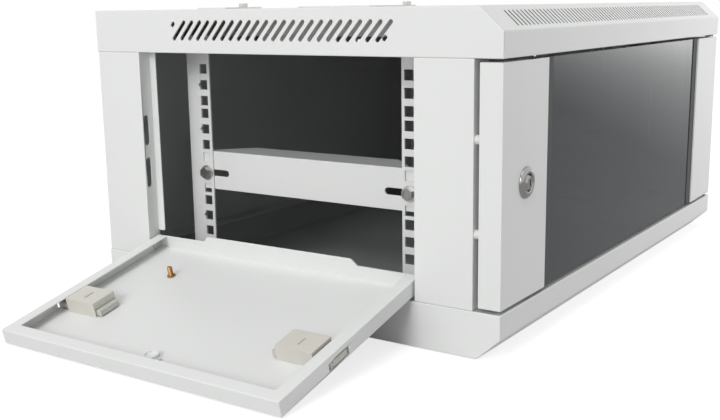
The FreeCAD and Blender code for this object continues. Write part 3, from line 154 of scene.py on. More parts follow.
class Graph:
    """The node tree of a material or a world."""

    def __init__(self, owner, output):
        self.owner = owner
        owner.use_nodes = True
        self.tree = owner.node_tree
        self.tree.nodes.clear()
        self.output = self.node(output)

    def node(self, kind, settings=None, *values, **named):
        """Add a node, with its settings first and then the values or links of its sockets."""
        node = self.tree.nodes.new(kind)
        for name, value in (settings or {}).items():
            setattr(node, name, value)
        for index, value in enumerate(values):
            self.feed(node.inputs[index], value)
        for name, value in named.items():
            self.feed(node.inputs[name.replace("_", " ")], value)
        return node

    def feed(self, socket, value):
        """Link a socket or set its value."""
        if isinstance(value, Value):
            self.tree.links.new(value.socket, socket)
        else:
            socket.default_value = value

    def value(self, node, output=0):
        """One output of a node."""
        return Value(self, node.outputs[output])

    def place(self):
        """Object coordinates, in metres."""
        return self.value(self.node("ShaderNodeTexCoord"), "Object")

    def noise(self, place, scale, detail, roughness):
        """A soft pattern between nought and one."""
        node = self.node(
            "ShaderNodeTexNoise", {"noise_dimensions": "3D"},
            Vector=place, Scale=scale, Detail=detail, Roughness=roughness,
        )
        return self.value(node, "Fac")

    def mix(self, factor, first, second):
        """A colour between two."""
        node = self.node("ShaderNodeMix", {"data_type": "RGBA"})
        self.feed(node.inputs[0], factor)
        self.feed(node.inputs[6], first)
        self.feed(node.inputs[7], second)
        return self.value(node, 2)

    def bump(self, height, strength, distance):
        """A normal that follows a fine relief."""
        node = self.node("ShaderNodeBump", Strength=strength, Distance=distance, Height=height)
        return self.value(node, "Normal")

    def shader(self, kind, *shaders, **sockets):
        """A shader node's output, from the values of its sockets or from other shaders."""
        return self.value(self.node(kind, None, *shaders, **sockets))

    def wire(self, shader):
        """Wire a shader to the output."""
        self.feed(self.output.inputs["Surface"], shader)
        return self.owner


def material_graph(name):
    """The empty tree of a new material."""
    return Graph(bpy.data.materials.new(name), "ShaderNodeOutputMaterial")


def shade(value, factor):
    """A colour made lighter or darker, with its alpha."""
    return (value[0] * factor, value[1] * factor, value[2] * factor, 1.0)


def grey(level):
    """A plain grey, with its alpha."""
    return (level, level, level, 1.0)


def powder_coat(name, base):
    """Textured powder coat: a fine orange peel, with slightly uneven tone and gloss."""
    graph = material_graph(name)
    place = graph.place()
    peel = graph.noise(place, scale=900.0, detail=3.0, roughness=0.55)
    cloud = graph.noise(place, scale=9.0, detail=3.0, roughness=0.5)
    tone = graph.mix(cloud, shade(base, 0.975), shade(base, 1.02))
    speck = graph.noise(place, scale=2600.0, detail=1.0, roughness=0.5)
    return graph.wire(graph.shader(
        "ShaderNodeBsdfPrincipled",
        Specular_IOR_Level=0.45,
        Base_Color=graph.mix(speck * 0.35, tone, shade(base, 0.93)),
        Roughness=0.40 + peel * 0.12,
        Normal=graph.bump(peel, strength=0.22, distance=0.00025),
    ))


def plated(name, base, roughness, scratch):
    """Plated steel with fine handling marks."""
    graph = material_graph(name)
    place = graph.place()
    grain = graph.noise(place, scale=1400.0, detail=4.0, roughness=0.6)
    cloud = graph.noise(place, scale=120.0, detail=3.0, roughness=0.5)
    return graph.wire(graph.shader(
        "ShaderNodeBsdfPrincipled",
        Metallic=1.0,
        Base_Color=graph.mix(cloud, shade(base, 0.86), shade(base, 1.06)),
        Roughness=roughness + cloud * 0.12 + grain * scratch,
        Normal=graph.bump(grain, strength=0.08, distance=0.0001),
    ))


def moulded(name, base, roughness):
    """Moulded plastic with a fine spark-eroded texture."""
    graph = material_graph(name)
    place = graph.place()
    grain = graph.noise(place, scale=1600.0, detail=3.0, roughness=0.6)
    cloud = graph.noise(place, scale=60.0, detail=2.0, roughness=0.5)
    return graph.wire(graph.shader(
        "ShaderNodeBsdfPrincipled",
        Specular_IOR_Level=0.4,
        Base_Color=graph.mix(cloud, shade(base, 0.96), shade(base, 1.03)),
        Roughness=roughness + grain * 0.14,
        Normal=graph.bump(grain, strength=0.12, distance=0.00012),
    ))


def smoked_glass(name, base):
    """A smoked pane: a clear gloss over a dark body that lets a fifth of the light through."""
    graph = material_graph(name)
    wave = graph.noise(graph.place(), scale=3.0, detail=1.0, roughness=0.4)
    return graph.wire(graph.shader(
        "ShaderNodeBsdfPrincipled",
        IOR=1.52,
        Specular_IOR_Level=0.5,
        Base_Color=shade(base, 1.0),
        Roughness=0.02,
        Alpha=0.80,
        Normal=graph.bump(wave, strength=0.02, distance=0.0004),
    ))


def rubber(name, base, roughness):
    """Rubber or soft elastomer with a matt, uneven skin."""
    graph = material_graph(name)
    grain = graph.noise(graph.place(), scale=1200.0, detail=2.0, roughness=0.5)
    return graph.wire(graph.shader(
        "ShaderNodeBsdfPrincipled",
        Specular_IOR_Level=0.3,
        Base_Color=graph.mix(grain, shade(base, 0.85), shade(base, 1.15)),
        Roughness=roughness + grain * 0.15,
        Normal=graph.bump(grain, strength=0.1, distance=0.0001),
    ))


# Each finish has its colour under the same name in CabinetColours. After the material's name come the
# roughness and, for plate, how far scratches change it.
FINISHES = {
    "paint": (powder_coat, "powder_coat"),
    "inner_shade": (powder_coat, "inner_powder_coat"),
    "slot_shade": (powder_coat, "punched_edge"),
    "bolt": (plated, "bolt_plate", 0.22, 0.12),
    "zinc": (plated, "zinc_plate", 0.26, 0.10),
    "bright": (plated, "bright_plate", 0.10, 0.04),
    "glass": (smoked_glass, "smoked_glass"),
    "rubber": (rubber, "black_rubber", 0.55),
    "stop": (rubber, "pale_elastomer", 0.35),
    "housing": (moulded, "cream_moulding", 0.38),
    "slider": (moulded, "grey_moulding", 0.40),
    "bush": (moulded, "dark_moulding", 0.42),
    "brass": (plated, "dull_brass", 0.30, 0.12),
}
# A sheet part's plain paint, then the painted shade of its inner faces and the painted shade of the slope's
# slot walls.
SHEET_FINISHES = ("paint", "inner_shade", "slot_shade")
MATERIALS = {}


def finish(name):
    """The material of one finish, made once."""
    if name not in MATERIALS:
        maker, title, *settings = FINISHES[name]
        base = getattr(bpy.context.scene.cabinet_colours, name)
        MATERIALS[name] = maker(title, base, *settings)
    return MATERIALS[name]


# Mesh tools.
WELD_DISTANCE = 0.000005
FOLD_ANGLE = math.radians(25.0)
SMOOTH_ANGLE = math.radians(32.0)

# Points this near a screw's end belong to that end, and a cutter stands this far out of what it cuts.
END_REACH = 0.0009
CLEARANCE = 0.001

# The share of a knob's radius where its rim begins, and the share of a knurl's pitch that its flute takes.
RIM_SHARE = 0.97
FLUTE_SHARE = 0.45

QUARTER = math.pi / 2
TURNS = {
    "X": (0.0, QUARTER, 0.0),
    "-X": (0.0, -QUARTER, 0.0),
    "Y": (-QUARTER, 0.0, 0.0),
    "-Y": (QUARTER, 0.0, 0.0),
    "Z": (0.0, 0.0, 0.0),
}


def deselect():
    """Leave edit mode and deselect every object."""
    if bpy.context.mode != "OBJECT":
        bpy.ops.object.mode_set(mode="OBJECT")
    bpy.ops.object.select_all(action="DESELECT")


def activate(piece):
    """Select one object alone."""
    deselect()
    piece.select_set(True)
    bpy.context.view_layer.objects.active = piece
    return piece


def edit(piece, kind="VERT"):
    """Enter edit mode on a piece, with its vertices or edges to be picked."""
    activate(piece)
    bpy.ops.object.mode_set(mode="EDIT")
    bpy.ops.mesh.select_mode(type=kind)


def leave():
    """Go back to object mode."""
    bpy.ops.object.mode_set(mode="OBJECT")


def clear_picks(piece, kind="VERT"):
    """Deselect all of a piece's mesh, before a part of it is picked in code."""
    edit(piece, kind)
    bpy.ops.mesh.select_all(action="DESELECT")
    leave()


def apply_modifiers(piece):
    """Apply every modifier of a piece."""
    activate(piece)
    for modifier in list(piece.modifiers):
        bpy.ops.object.modifier_apply(modifier=modifier.name)
    return piece


def settle(piece):
    """Move an object's place into its mesh."""
    activate(piece)
    bpy.ops.object.transform_apply(location=True, rotation=True, scale=True)
    return piece


def join(pieces):
    """Join several objects into the first of them."""
    deselect()
    for piece in pieces:
        piece.select_set(True)
    bpy.context.view_layer.objects.active = pieces[0]
    bpy.ops.object.join()
    return pieces[0]


def dress(piece, name, body, material, node):
    """Name a finished piece, give it its finish and fix it to its body in its node's stead."""
    piece.name = name
    if material:
        piece.data.materials.clear()
        piece.data.materials.append(finish(material))
    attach(piece, body)
    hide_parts(node)
    return piece


def merged_copy(node):
    """A welded copy of a frame part."""
    piece = bpy.data.objects.new(node + "_shaped", NODES[node].data.copy())
    bpy.context.scene.collection.objects.link(piece)
    activate(piece)
    if piece.data.has_custom_normals:
        bpy.ops.mesh.customdata_custom_splitnormals_clear()
    edit(piece)
    bpy.ops.mesh.select_all(action="SELECT")
    bpy.ops.mesh.remove_doubles(threshold=WELD_DISTANCE)
    leave()
    return piece


def round_edges(piece, radius, shortest=0.0, segments=3, keep_apart=False):
    """Round the sharp convex edges that are at least as long as a given length."""
    clear_picks(piece, "EDGE")
    mesh = piece.data
    faces_at = {}
    for face in mesh.polygons:
        for key in face.edge_keys:
            faces_at.setdefault(key, []).append(face)
    for edge in mesh.edges:
        around = faces_at.get(edge.key, [])
        if len(around) != 2:
            continue
        start, end = (mesh.vertices[index].co for index in edge.vertices)
        if (end - start).length < shortest:
            continue
        bend = around[0].normal.angle(around[1].normal, 0.0)
        towards = around[1].center - around[0].center
        convex = towards.dot(around[0].normal) < 0.0
        edge.select = bend > FOLD_ANGLE and convex
    edit(piece, "EDGE")
    bpy.ops.mesh.bevel(offset=radius, segments=segments, profile=0.5, clamp_overlap=keep_apart)
    leave()
    return piece


def eased(node, radius):
    """A welded copy of a small part with softened edges."""
    return round_edges(merged_copy(node), radius, segments=2, keep_apart=True)


def flatten(piece, angle=SMOOTH_ANGLE):
    """Shade a piece smoothly over its rounded edges and flat over its broad faces."""
    activate(piece)
    bpy.ops.object.shade_smooth_by_angle(angle=angle)
    modifier = piece.modifiers.new("flat faces", "WEIGHTED_NORMAL")
    modifier.keep_sharp = True
    return apply_modifiers(piece)


def folded(node, body, radius, shortest, pick=None, cutters=()):
    """A painted sheet part with rounded folds. pick gives each face's place in SHEET_FINISHES."""
    piece = round_edges(merged_copy(node), radius, shortest)
    for cutter in cutters:
        carve(piece, cutter)
    piece.data.materials.clear()
    for name in SHEET_FINISHES if pick else SHEET_FINISHES[:1]:
        piece.data.materials.append(finish(name))
    if pick:
        for face in piece.data.polygons:
            face.material_index = int(pick(face.center, face.normal))
    return dress(flatten(piece), node + "_sheet", body, None, node)


def softened(node, body, material, radius):
    """A small part with softened edges."""
    return dress(flatten(eased(node, radius)), node + "_soft", body, material, node)


def carve(piece, cutter):
    """Cut one closed piece out of another."""
    modifier = piece.modifiers.new("cut", "BOOLEAN")
    modifier.operation = "DIFFERENCE"
    modifier.solver = "EXACT"
    modifier.object = cutter
    apply_modifiers(piece)
    activate(cutter)
    bpy.ops.object.delete()
    return activate(piece)


def block(name, low, high):
    """A box between two corners."""
    low, high = Vector(low), Vector(high)
    bpy.ops.mesh.primitive_cube_add(size=1.0, location=(low + high) / 2)
    piece = bpy.context.active_object
    piece.name = name
    piece.scale = high - low
    return settle(piece)


def drum(name, radius, middle, depth, axis, sides):
    """A cylinder about an axis, given by its middle."""
    bpy.ops.mesh.primitive_cylinder_add(
        vertices=sides, radius=radius, depth=depth, location=middle, rotation=TURNS[axis],
    )
    piece = bpy.context.active_object
    piece.name = name
    return settle(piece)


def turned(name, profile, sides):
    """A solid of revolution about Z, from a list of (radius, height) pairs that runs up from its foot."""
    radius, height = profile[0]
    bpy.ops.mesh.primitive_circle_add(
        vertices=sides, radius=radius, fill_type="NGON", location=(0, 0, height),
    )
    piece = settle(bpy.context.active_object)
    edit(piece)
    bpy.ops.mesh.select_all(action="SELECT")
    for next_radius, next_height in profile[1:]:
        rise = (0, 0, next_height - height)
        bpy.ops.mesh.extrude_region_move(TRANSFORM_OT_translate={"value": rise})
        grow = next_radius / radius
        bpy.ops.transform.resize(value=(grow, grow, 1.0), center_override=(0.0, 0.0, 0.0))
        radius, height = next_radius, next_height
    bpy.ops.mesh.select_all(action="SELECT")
    bpy.ops.mesh.normals_make_consistent(inside=False)
    leave()
    piece.name = name
    return piece


def threaded(foot, top, radius, pitch, depth):
    """The profile of a threaded shank, as a run of grooves."""
    turns = max(1, int((top - foot) / pitch))
    step = (top - foot) / turns
    profile = []
    for turn in range(turns):
        profile.append((radius - depth, foot + turn * step))
        profile.append((radius, foot + (turn + 0.5) * step))
    return profile + [(radius - depth, top)]


def knurl(piece, low, high, radius, teeth, depth):
    """Press flutes into the rim of a turned piece between two heights."""
    clear_picks(piece)
    pitch = math.tau / teeth
    for vertex in piece.data.vertices:
        reach = math.hypot(vertex.co.x, vertex.co.y)
        turn = math.atan2(vertex.co.y, vertex.co.x) % pitch
        on_rim = reach > radius * RIM_SHARE and low <= vertex.co.z <= high
        vertex.select = on_rim and turn < pitch * FLUTE_SHARE
    edit(piece)
    shrink = 1.0 - depth / radius
    bpy.ops.transform.resize(value=(shrink, shrink, 1.0), center_override=(0.0, 0.0, 0.0))
    leave()
    return piece


def set_at(piece, place, axis="Z"):
    """Turn a piece that was made along Z to an axis and move it to its place."""
    piece.rotation_euler = TURNS[axis]
    piece.location = place
    return settle(piece)


def low_corner(points):
    """The least of each coordinate."""
    return Vector([min(point[i] for point in points) for i in range(3)])


def high_corner(points):
    """The greatest of each coordinate."""
    return Vector([max(point[i] for point in points) for i in range(3)])


def middle_of(points):
    """The middle of the box round some points."""
    return (low_corner(points) + high_corner(points)) / 2


def solids(node):
    """The points of each separate solid of a frame part, in order of place."""
    mesh = NODES[node].data
    turn = NODES[node].matrix_world
    parent = {}

    def root(key):
        """The point that stands for all the points that faces link to this one."""
        while parent[key] != key:
            parent[key] = parent[parent[key]]
            key = parent[key]
        return key

    places = [turn @ vertex.co for vertex in mesh.vertices]
    keys = [tuple(round(part, 5) for part in place) for place in places]
    for key in keys:
        parent.setdefault(key, key)
    for face in mesh.polygons:
        first = root(keys[face.vertices[0]])
        for index in face.vertices[1:]:
            parent[root(keys[index])] = first
    groups = {}
    for key, place in zip(keys, places):
        groups.setdefault(root(key), []).append(place)
    return sorted(groups.values(), key=lambda group: tuple(round(part, 4) for part in low_corner(group)))


def head_end(points, axis):
    """The height of a screw's head end along an axis, and the sign of the way it faces."""
    low, high = low_corner(points)[axis], high_corner(points)[axis]
    across = (axis + 1) % 3
    spread = []
    for end in (low, high):
        near = [point[across] for point in points if abs(point[axis] - end) < END_REACH]
        spread.append(max(near) - min(near))
    return (high, 1) if spread[1] > spread[0] else (low, -1)


def cross_cutters(points, axis, sizes):
    """Two crossed bars that cut the recess of a cross-head screw."""
    middle = middle_of(points)
    level, sign = head_end(points, axis)
    first, second = (axis + 1) % 3, (axis + 2) % 3
    bars = []
    for along, beside in ((first, second), (second, first)):
        low, high = Vector(middle), Vector(middle)
        low[along] -= sizes.cross_reach
        high[along] += sizes.cross_reach
        low[beside] -= sizes.cross_width / 2
        high[beside] += sizes.cross_width / 2
        low[axis], high[axis] = sorted((level - sign * sizes.cross_depth, level + sign * CLEARANCE))
        bars.append(block("cutter", low, high))
    return bars


def cross_headed(node, body, axis):
    """Screws with softened heads and cross recesses."""
    sizes = bpy.context.scene.cabinet_sizes
    piece = eased(node, sizes.screw_radius)
    for points in solids(node):
        for bar in cross_cutters(points, axis, sizes):
            carve(piece, bar)
    return dress(flatten(piece), node + "_detailed", body, "zinc", node)


def slot_cutter(start, end, radius, depth):
    """A round-ended bar along X that cuts a slot between two points."""
    piece = drum("slot_cutter", radius, start, depth, axis="X", sides=32)
    way = end - start
    clear_picks(piece)
    for vertex in piece.data.vertices:
        vertex.select = (vertex.co - start).dot(way) > 0.0
    edit(piece)
    bpy.ops.transform.translate(value=way)
    leave()
    return piece


# Casing: cover, base, rear wall, posts and rails.
CASING_LOW, CASING_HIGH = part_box("base_pan")[0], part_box("top_cover")[1]
INNER_DEPTH = 0.0008
COVER_SIDE = 0.2994
SHORT_VENTS = ((0.1179, 0.2684), (-0.1171, 0.2572))
VENT_WAY = Vector((0.0, 0.0006, -0.00067))
VENT_DEPTH = 0.004
SLOPE_REAR = -0.2005
SLOPE_FOOT = 0.262
SLOPE_END = 0.285
SIDEWAYS = 0.5
SLOPE_TOP = Vector((0.0, -0.202, 0.282))
SLOPE_BOTTOM = Vector((0.0, -0.223, 0.263))
SEAM_PLACE = 0.2987
SEAM_DROP = 0.016


def faces_inward(center, normal):
    """True, which counts as one, for a face on the inner side of the casing, which gets the painted shade.
    """
    inside = all(
        low + INNER_DEPTH < part < high - INNER_DEPTH
        for low, part, high in zip(CASING_LOW, center, CASING_HIGH)
    )
    middle = (CASING_LOW + CASING_HIGH) / 2
    return inside and normal.dot(middle - center) > 0.0


def cover_finish(center, normal):
    """Painted shade on the side walls of the slots in the slope, and painted shade on the faces inside the
    cover.
    """
    on_slope = center.y < SLOPE_REAR and center.z > SLOPE_FOOT and abs(center.x) < SLOPE_END
    if on_slope and abs(normal.x) > SIDEWAYS:
        return SHEET_FINISHES.index("slot_shade")
    return faces_inward(center, normal)


def short_vents(sizes):
    """Cutters for the two short slots near the ends of each row of vents."""
    cutters = []
    for y, z in SHORT_VENTS:
        for x in (-COVER_SIDE, COVER_SIDE):
            middle = Vector((x, y, z))
            cutters.append(slot_cutter(middle - VENT_WAY, middle + VENT_WAY, sizes.vent_radius, VENT_DEPTH))
    return cutters


def seams(sizes):
    """Cutters for the fine seams between the cover's sides and its slope."""
    cutters = []
    rise = SLOPE_TOP - SLOPE_BOTTOM
    half = rise.length / 2
    across, depth = sizes.seam_width / 2, sizes.seam_depth
    for x in (-SEAM_PLACE, SEAM_PLACE):
        bar = block("seam", (-across, -half, -depth), (across, half, depth))
        bar.rotation_euler = (math.atan2(rise.z, rise.y), 0.0, 0.0)
        bar.location = (SLOPE_TOP + SLOPE_BOTTOM) / 2 + Vector((x, 0.0, 0.0))
        cutters.append(settle(bar))
        low = (x - across, SLOPE_BOTTOM.y - depth, SLOPE_BOTTOM.z - SEAM_DROP)
        high = (x + across, SLOPE_BOTTOM.y + depth, SLOPE_BOTTOM.z)
        cutters.append(block("seam", low, high))
    return cutters


class CABINET_OT_casing(bpy.types.Operator):
    """Cover, base pan, rear wall and the roof's plates, with rounded folds and painted shade on their
    insides
    """

    bl_idname = "cabinet.casing"
    bl_label = "Cover and base"

    def execute(self, context):
        sizes = context.scene.cabinet_sizes
        # faces_inward and cover_finish pick the faces that get painted shade.
        folded("base_pan", "frame", sizes.fold_radius, sizes.long_edge * 2, faces_inward)
        cutters = short_vents(sizes) + seams(sizes)
        folded("top_cover", "frame", sizes.fold_radius, sizes.long_edge * 2, cover_finish, cutters)
        folded("rear_wall", "frame", sizes.plate_radius, sizes.long_edge, faces_inward)
        for node in ("cable_entry_plate", "vent_entry_plate"):
            folded(node, "frame", sizes.plate_radius, sizes.long_edge)
        return {"FINISHED"}


class CABINET_OT_posts(bpy.types.Operator):
    """Folded corner posts"""

    bl_idname = "cabinet.posts"
    bl_label = "Posts"

    def execute(self, context):
        sizes = context.scene.cabinet_sizes
        for side in SIDES:
            for end in ENDS:
                folded("%s_post_%s" % (end, side), "frame", sizes.fold_radius, sizes.long_edge)
        return {"FINISHED"}


class CABINET_OT_rails(bpy.types.Operator):
    """Rack rails, depth rails and support brackets"""

    bl_idname = "cabinet.rails"
    bl_label = "Rails and brackets"

    def execute(self, context):
        sizes = context.scene.cabinet_sizes
        for side in SIDES:
            for end in ENDS:
                folded("rack_rail_%s_%s" % (end, side), "frame", sizes.plate_radius, sizes.long_edge)
            folded("support_bracket_" + side, "frame", sizes.fold_radius / 2, sizes.long_edge)
            for tier in ("top", "bottom"):
                node = "depth_rail_%s_%s" % (tier, side)
                softened(node, "frame", "zinc", sizes.plate_radius)
        return {"FINISHED"}


# Side panels. Their details are made where the closed right panel has them, and moved from there.
PANEL_MIDDLE = 0.0104
PIVOT_PLACE = Vector((-0.2947, 0.0, 0.05))
OPEN_TILT = math.radians(-103.54)
STUD_PLACE = (0.2988, -0.08, 0.0935)
STUD_PROFILE = (
    [(0.0038, 0.0), (0.0040, 0.0002), (0.0040, 0.0013), (0.0038, 0.0015)]
    + threaded(foot=0.0015, top=0.0094, radius=0.0025, pitch=0.0008, depth=0.0003)
    + [(0.0019, 0.0099)]
)
STUD_SMOOTH_ANGLE = math.radians(24.0)
PLUG_PLACE = (0.2948, PANEL_MIDDLE, 0.213)
PLUG_DEPTH = 0.0024
PILOT_PLACE = (COVER_SIDE, PANEL_MIDDLE + 0.0100, 0.213)
PILOT_DEPTH = 0.004
TONGUE_TIPS = {"front": -0.1423, "rear": 0.1632}
DRAWN_BACK = 0.005
TONGUE_DOTS = (0.2937, 0.2963)
DOT_LEVEL = 0.1745
DOT_DEPTH = 0.0012


def on_panel(piece, side):
    """Move a piece from the closed right panel's place to a side panel's own place at rest."""
    if side == "left":
        turn = Matrix.Translation((0.0, 2 * PANEL_MIDDLE, 0.0)) @ Matrix.Rotation(math.pi, 4, "Z")
        there = Matrix.Translation(PIVOT_PLACE)
        tilt = there @ Matrix.Rotation(OPEN_TILT, 4, "Y") @ there.inverted()
        piece.matrix_world = tilt @ turn @ piece.matrix_world
    return settle(piece)


def stud(side):
    """An earth stud with its foot and thread."""
    piece = set_at(turned("stud", STUD_PROFILE, sides=32), STUD_PLACE, "-X")
    piece = flatten(on_panel(piece, side), STUD_SMOOTH_ANGLE)
    node = "ground_stud_" + side
    return dress(piece, node + "_threaded", side + "_panel", "brass", node)


def plug(side, sizes):
    """A panel plug with a round hollow."""
    node = "panel_plug_" + side
    piece = eased(node, sizes.screw_radius)
    hollow = drum("hollow", sizes.recess_radius, PLUG_PLACE, PLUG_DEPTH, axis="X", sides=48)
    carve(piece, on_panel(hollow, side))
    return dress(flatten(piece), node + "_hollowed", side + "_panel", "paint", node)


def slider(side, end, sizes):
    """A latch slider with softened edges and two dots on the end of its tongue."""
    node = "latch_slider_%s_%s" % (side, end)
    piece = eased(node, sizes.plastic_radius / 2)
    if side == "left":
        tip = TONGUE_TIPS[OPPOSITE[end]]
    else:
        tip = TONGUE_TIPS[end] + (DRAWN_BACK if end == "front" else -DRAWN_BACK)
    for across in TONGUE_DOTS:
        dot = drum("dot", sizes.dot_radius, (across, tip, DOT_LEVEL), DOT_DEPTH, axis="Y", sides=16)
        carve(piece, on_panel(dot, side))
    body = "%s_%s_latch" % (side, end)
    return dress(flatten(piece), node + "_dotted", body, "slider", node)


class CABINET_OT_panels(bpy.types.Operator):
    """Side panels with their plugs, studs, pivots and latches"""

    bl_idname = "cabinet.panels"
    bl_label = "Side panels"

    def execute(self, context):
        sizes = context.scene.cabinet_sizes
        for side in SIDES:
            body = side + "_panel"
            # The closed right panel's inner faces get painted shade; the open left panel's don't.
            inner = faces_inward if side == "right" else None
            pilot = drum("pilot", sizes.pilot_radius, PILOT_PLACE, PILOT_DEPTH, axis="X", sides=32)
            cutters = [on_panel(pilot, side)]
            folded("side_panel_" + side, body, sizes.panel_fold_radius, sizes.long_edge, inner, cutters)
            stud(side)
            plug(side, sizes)
            softened("panel_pivot_pins_" + side, body, "zinc", sizes.screw_radius)
            for end in ENDS:
                node = "latch_housing_%s_%s" % (side, end)
                softened(node, body, "housing", sizes.plastic_radius)
                slider(side, end, sizes)
        return {"FINISHED"}


# Door and lock.
LOCK_PLACE = (-0.2555, -0.2229, 0.141)
BEZEL_PROFILE = [
    (0.0130, 0.0), (0.0132, 0.0002), (0.0132, 0.0009), (0.0129, 0.0015), (0.0123, 0.0021),
    (0.0113, 0.0027), (0.0101, 0.0031), (0.0090, 0.0033), (0.0083, 0.0032), (0.0078, 0.0028),
    (0.0075, 0.0020), (0.0075, 0.0010),
]
PLUG_PROFILE = [
    (0.0069, 0.0), (0.0069, 0.0009), (0.0066, 0.0014), (0.0059, 0.0021), (0.0053, 0.0028), (0.0050, 0.0032),
    (0.0046, 0.0034),
]
PLUG_STAND = 0.0005

# Half the width and height of each cut in the lock, and its outer and inner distance in front of the door.
BARREL_CUT = (0.015, 0.015, 0.003, 0.0)
PLUG_CUT = (0.009, 0.009, 0.006, 0.0006)
KEY_WAY = (0.0008, 0.0030, 0.006, 0.0012)


def ground_pane(sizes):
    """The pane with ground edges."""
    piece = round_edges(merged_copy("door_glass"), sizes.glass_edge, segments=2)
    return dress(flatten(piece), "door_glass_ground", "door", "glass", "door_glass")


class CABINET_OT_door(bpy.types.Operator):
    """Door strips, pane, seals, clamps and hinge pins"""

    bl_idname = "cabinet.door"
    bl_label = "Door"

    def execute(self, context):
        sizes = context.scene.cabinet_sizes
        for node in ("door_lock_strip", "door_hinge_strip"):
            folded(node, "door", sizes.door_fold_radius, sizes.long_edge)
        for node in ("glass_clamp_lock_side", "glass_clamp_hinge_side"):
            folded(node, "door", sizes.plate_radius, sizes.long_edge)
        ground_pane(sizes)
        softened("glass_seals", "door", "rubber", sizes.plate_radius)
        softened("door_hinge_pins", "door", "zinc", sizes.screw_radius)
        return {"FINISHED"}


def lock_cutter(half_width, half_height, outer, inner):
    """A box about the lock's axis, between two distances in front of the door."""
    x, y, z = LOCK_PLACE
    low = (x - half_width, y - outer, z - half_height)
    high = (x + half_width, y - inner, z + half_height)
    return block("cutter", low, high)


class CABINET_OT_lock(bpy.types.Operator):
    """The lock: domed bezel, plug with its key slot, nut, cam and screw"""

    bl_idname = "cabinet.lock"
    bl_label = "Lock"

    def execute(self, context):
        sizes = context.scene.cabinet_sizes
        barrel = merged_copy("lock_body")
        carve(barrel, lock_cutter(*BARREL_CUT))
        bezel = set_at(turned("bezel", BEZEL_PROFILE, sides=72), LOCK_PLACE, "-Y")
        whole = flatten(join([bezel, barrel]))
        dress(whole, "lock_bezel", "door", "bright", "lock_body")
        plug_end = merged_copy("lock_plug")
        carve(plug_end, lock_cutter(*PLUG_CUT))
        x, y, z = LOCK_PLACE
        face = set_at(turned("plug_face", PLUG_PROFILE, sides=56), (x, y - PLUG_STAND, z), "-Y")
        carve(face, lock_cutter(*KEY_WAY))
        whole = flatten(join([face, plug_end]))
        dress(whole, "lock_plug_faced", "lock", "bright", "lock_plug")
        softened("lock_nut", "door", "zinc", sizes.screw_radius)
        softened("lock_cam", "lock", "zinc", sizes.plate_radius)
        cross_headed("cam_screw", "lock", axis=1)
        return {"FINISHED"}


# Small parts.
KNOB_PLACES = ((-0.128, 0.178, 0.2835), (0.042, 0.070, 0.2835))
KNOB_SHANK = threaded(foot=-0.008, top=-0.0002, radius=0.002, pitch=0.0007, depth=0.00025)
KNOB_HEAD = [
    (0.0046, 0.0), (0.0050, 0.0004), (0.0050, 0.0007), (0.0050, 0.0033), (0.0050, 0.0036), (0.0046, 0.0040),
    (0.0030, 0.0040), (0.0027, 0.0037),
]
KNOB_RADIUS = 0.005
KNOB_FLUTES = 24
FLUTE_ENDS = (0.00065, 0.00335)
FLUTE_DEPTH = 0.00035


class CABINET_OT_thumbscrews(bpy.types.Operator):
    """Knurled thumbscrews of the cover plates"""

    bl_idname = "cabinet.thumbscrews"
    bl_label = "Thumbscrews"

    def execute(self, context):
        first = turned("thumbscrew", KNOB_SHANK + KNOB_HEAD, sides=KNOB_FLUTES * 4)
        knurl(first, *FLUTE_ENDS, KNOB_RADIUS, KNOB_FLUTES, FLUTE_DEPTH)
        second = first.copy()
        second.data = first.data.copy()
        bpy.context.scene.collection.objects.link(second)
        knobs = [set_at(knob, place) for knob, place in zip((first, second), KNOB_PLACES)]
        whole = flatten(join(knobs))
        dress(whole, "plate_thumbscrews_knurled", "frame", "zinc", "plate_thumbscrews")
        return {"FINISHED"}


def bracket_bolts(sizes):
    """Hexagon bolts with softened edges and dished heads."""
    piece = eased("bracket_bolts", sizes.screw_radius)
    for points in solids("bracket_bolts"):
        middle = middle_of(points)
        middle.x = head_end(points, axis=0)[0]
        carve(piece, drum("dish", sizes.dish_radius, middle, sizes.dish_depth * 2, axis="X", sides=32))
    return dress(flatten(piece), "bracket_bolts_dished", "frame", "bolt", "bracket_bolts")


class CABINET_OT_fittings(bpy.types.Operator):
    """Fasteners, hinge bushes and door stops"""

    bl_idname = "cabinet.fittings"
    bl_label = "Fittings"

    def execute(self, context):
        sizes = context.scene.cabinet_sizes
        cross_headed("frame_screws", "frame", axis=2)
        cross_headed("rear_wall_screws", "frame", axis=1)
        bracket_bolts(sizes)
        for node in ("bracket_washers", "bracket_nuts", "rail_bolts", "rail_nuts"):
            softened(node, "frame", "zinc", sizes.screw_radius)
        softened("hinge_bushes", "frame", "bush", sizes.screw_radius)
        softened("door_bumpers", "frame", "stop", sizes.stop_radius)
        return {"FINISHED"}


# Studio: the camera, the lights, the world and the floor.
CAMERA_PLACE = Vector((-0.98811, -0.55700, 0.28255))
CAMERA_AZIMUTH = -55.87
CAMERA_ELEVATION = 11.55
CAMERA_ROLL = -0.86
FOCAL_PIXELS = 996.79
IMAGE_WIDTH = 720
SENSOR_WIDTH = 36.0
SUN_DISTANCE = 3.0
WHITE = grey(1.0)
AMBIENT = 0.42
FLOOR_SIZE = 16.0
FLOOR_LEVEL = -0.0006
FLOOR_BOUNCE = 0.62
FLOOR_SHADE = 0.42
FLOOR_GLOW = 0.73

# Painted reflection: the floor glows for mirrored rays only, brighter to the right and to the rear, so the
# pane shows a graded reflection.
NEAR_GLOW = 0.5
FAR_GLOW = 2.5
GLOW_START = 0.18
GLOW_SPAN = 2.97
GLOW_LEAN = 1.5


def stand(name, data, place, turn):
    """Put a camera or a light at its place, turned its way."""
    piece = bpy.data.objects.new(name, data)
    bpy.context.scene.collection.objects.link(piece)
    piece.matrix_world = Matrix.Translation(place) @ turn.to_4x4()
    return piece


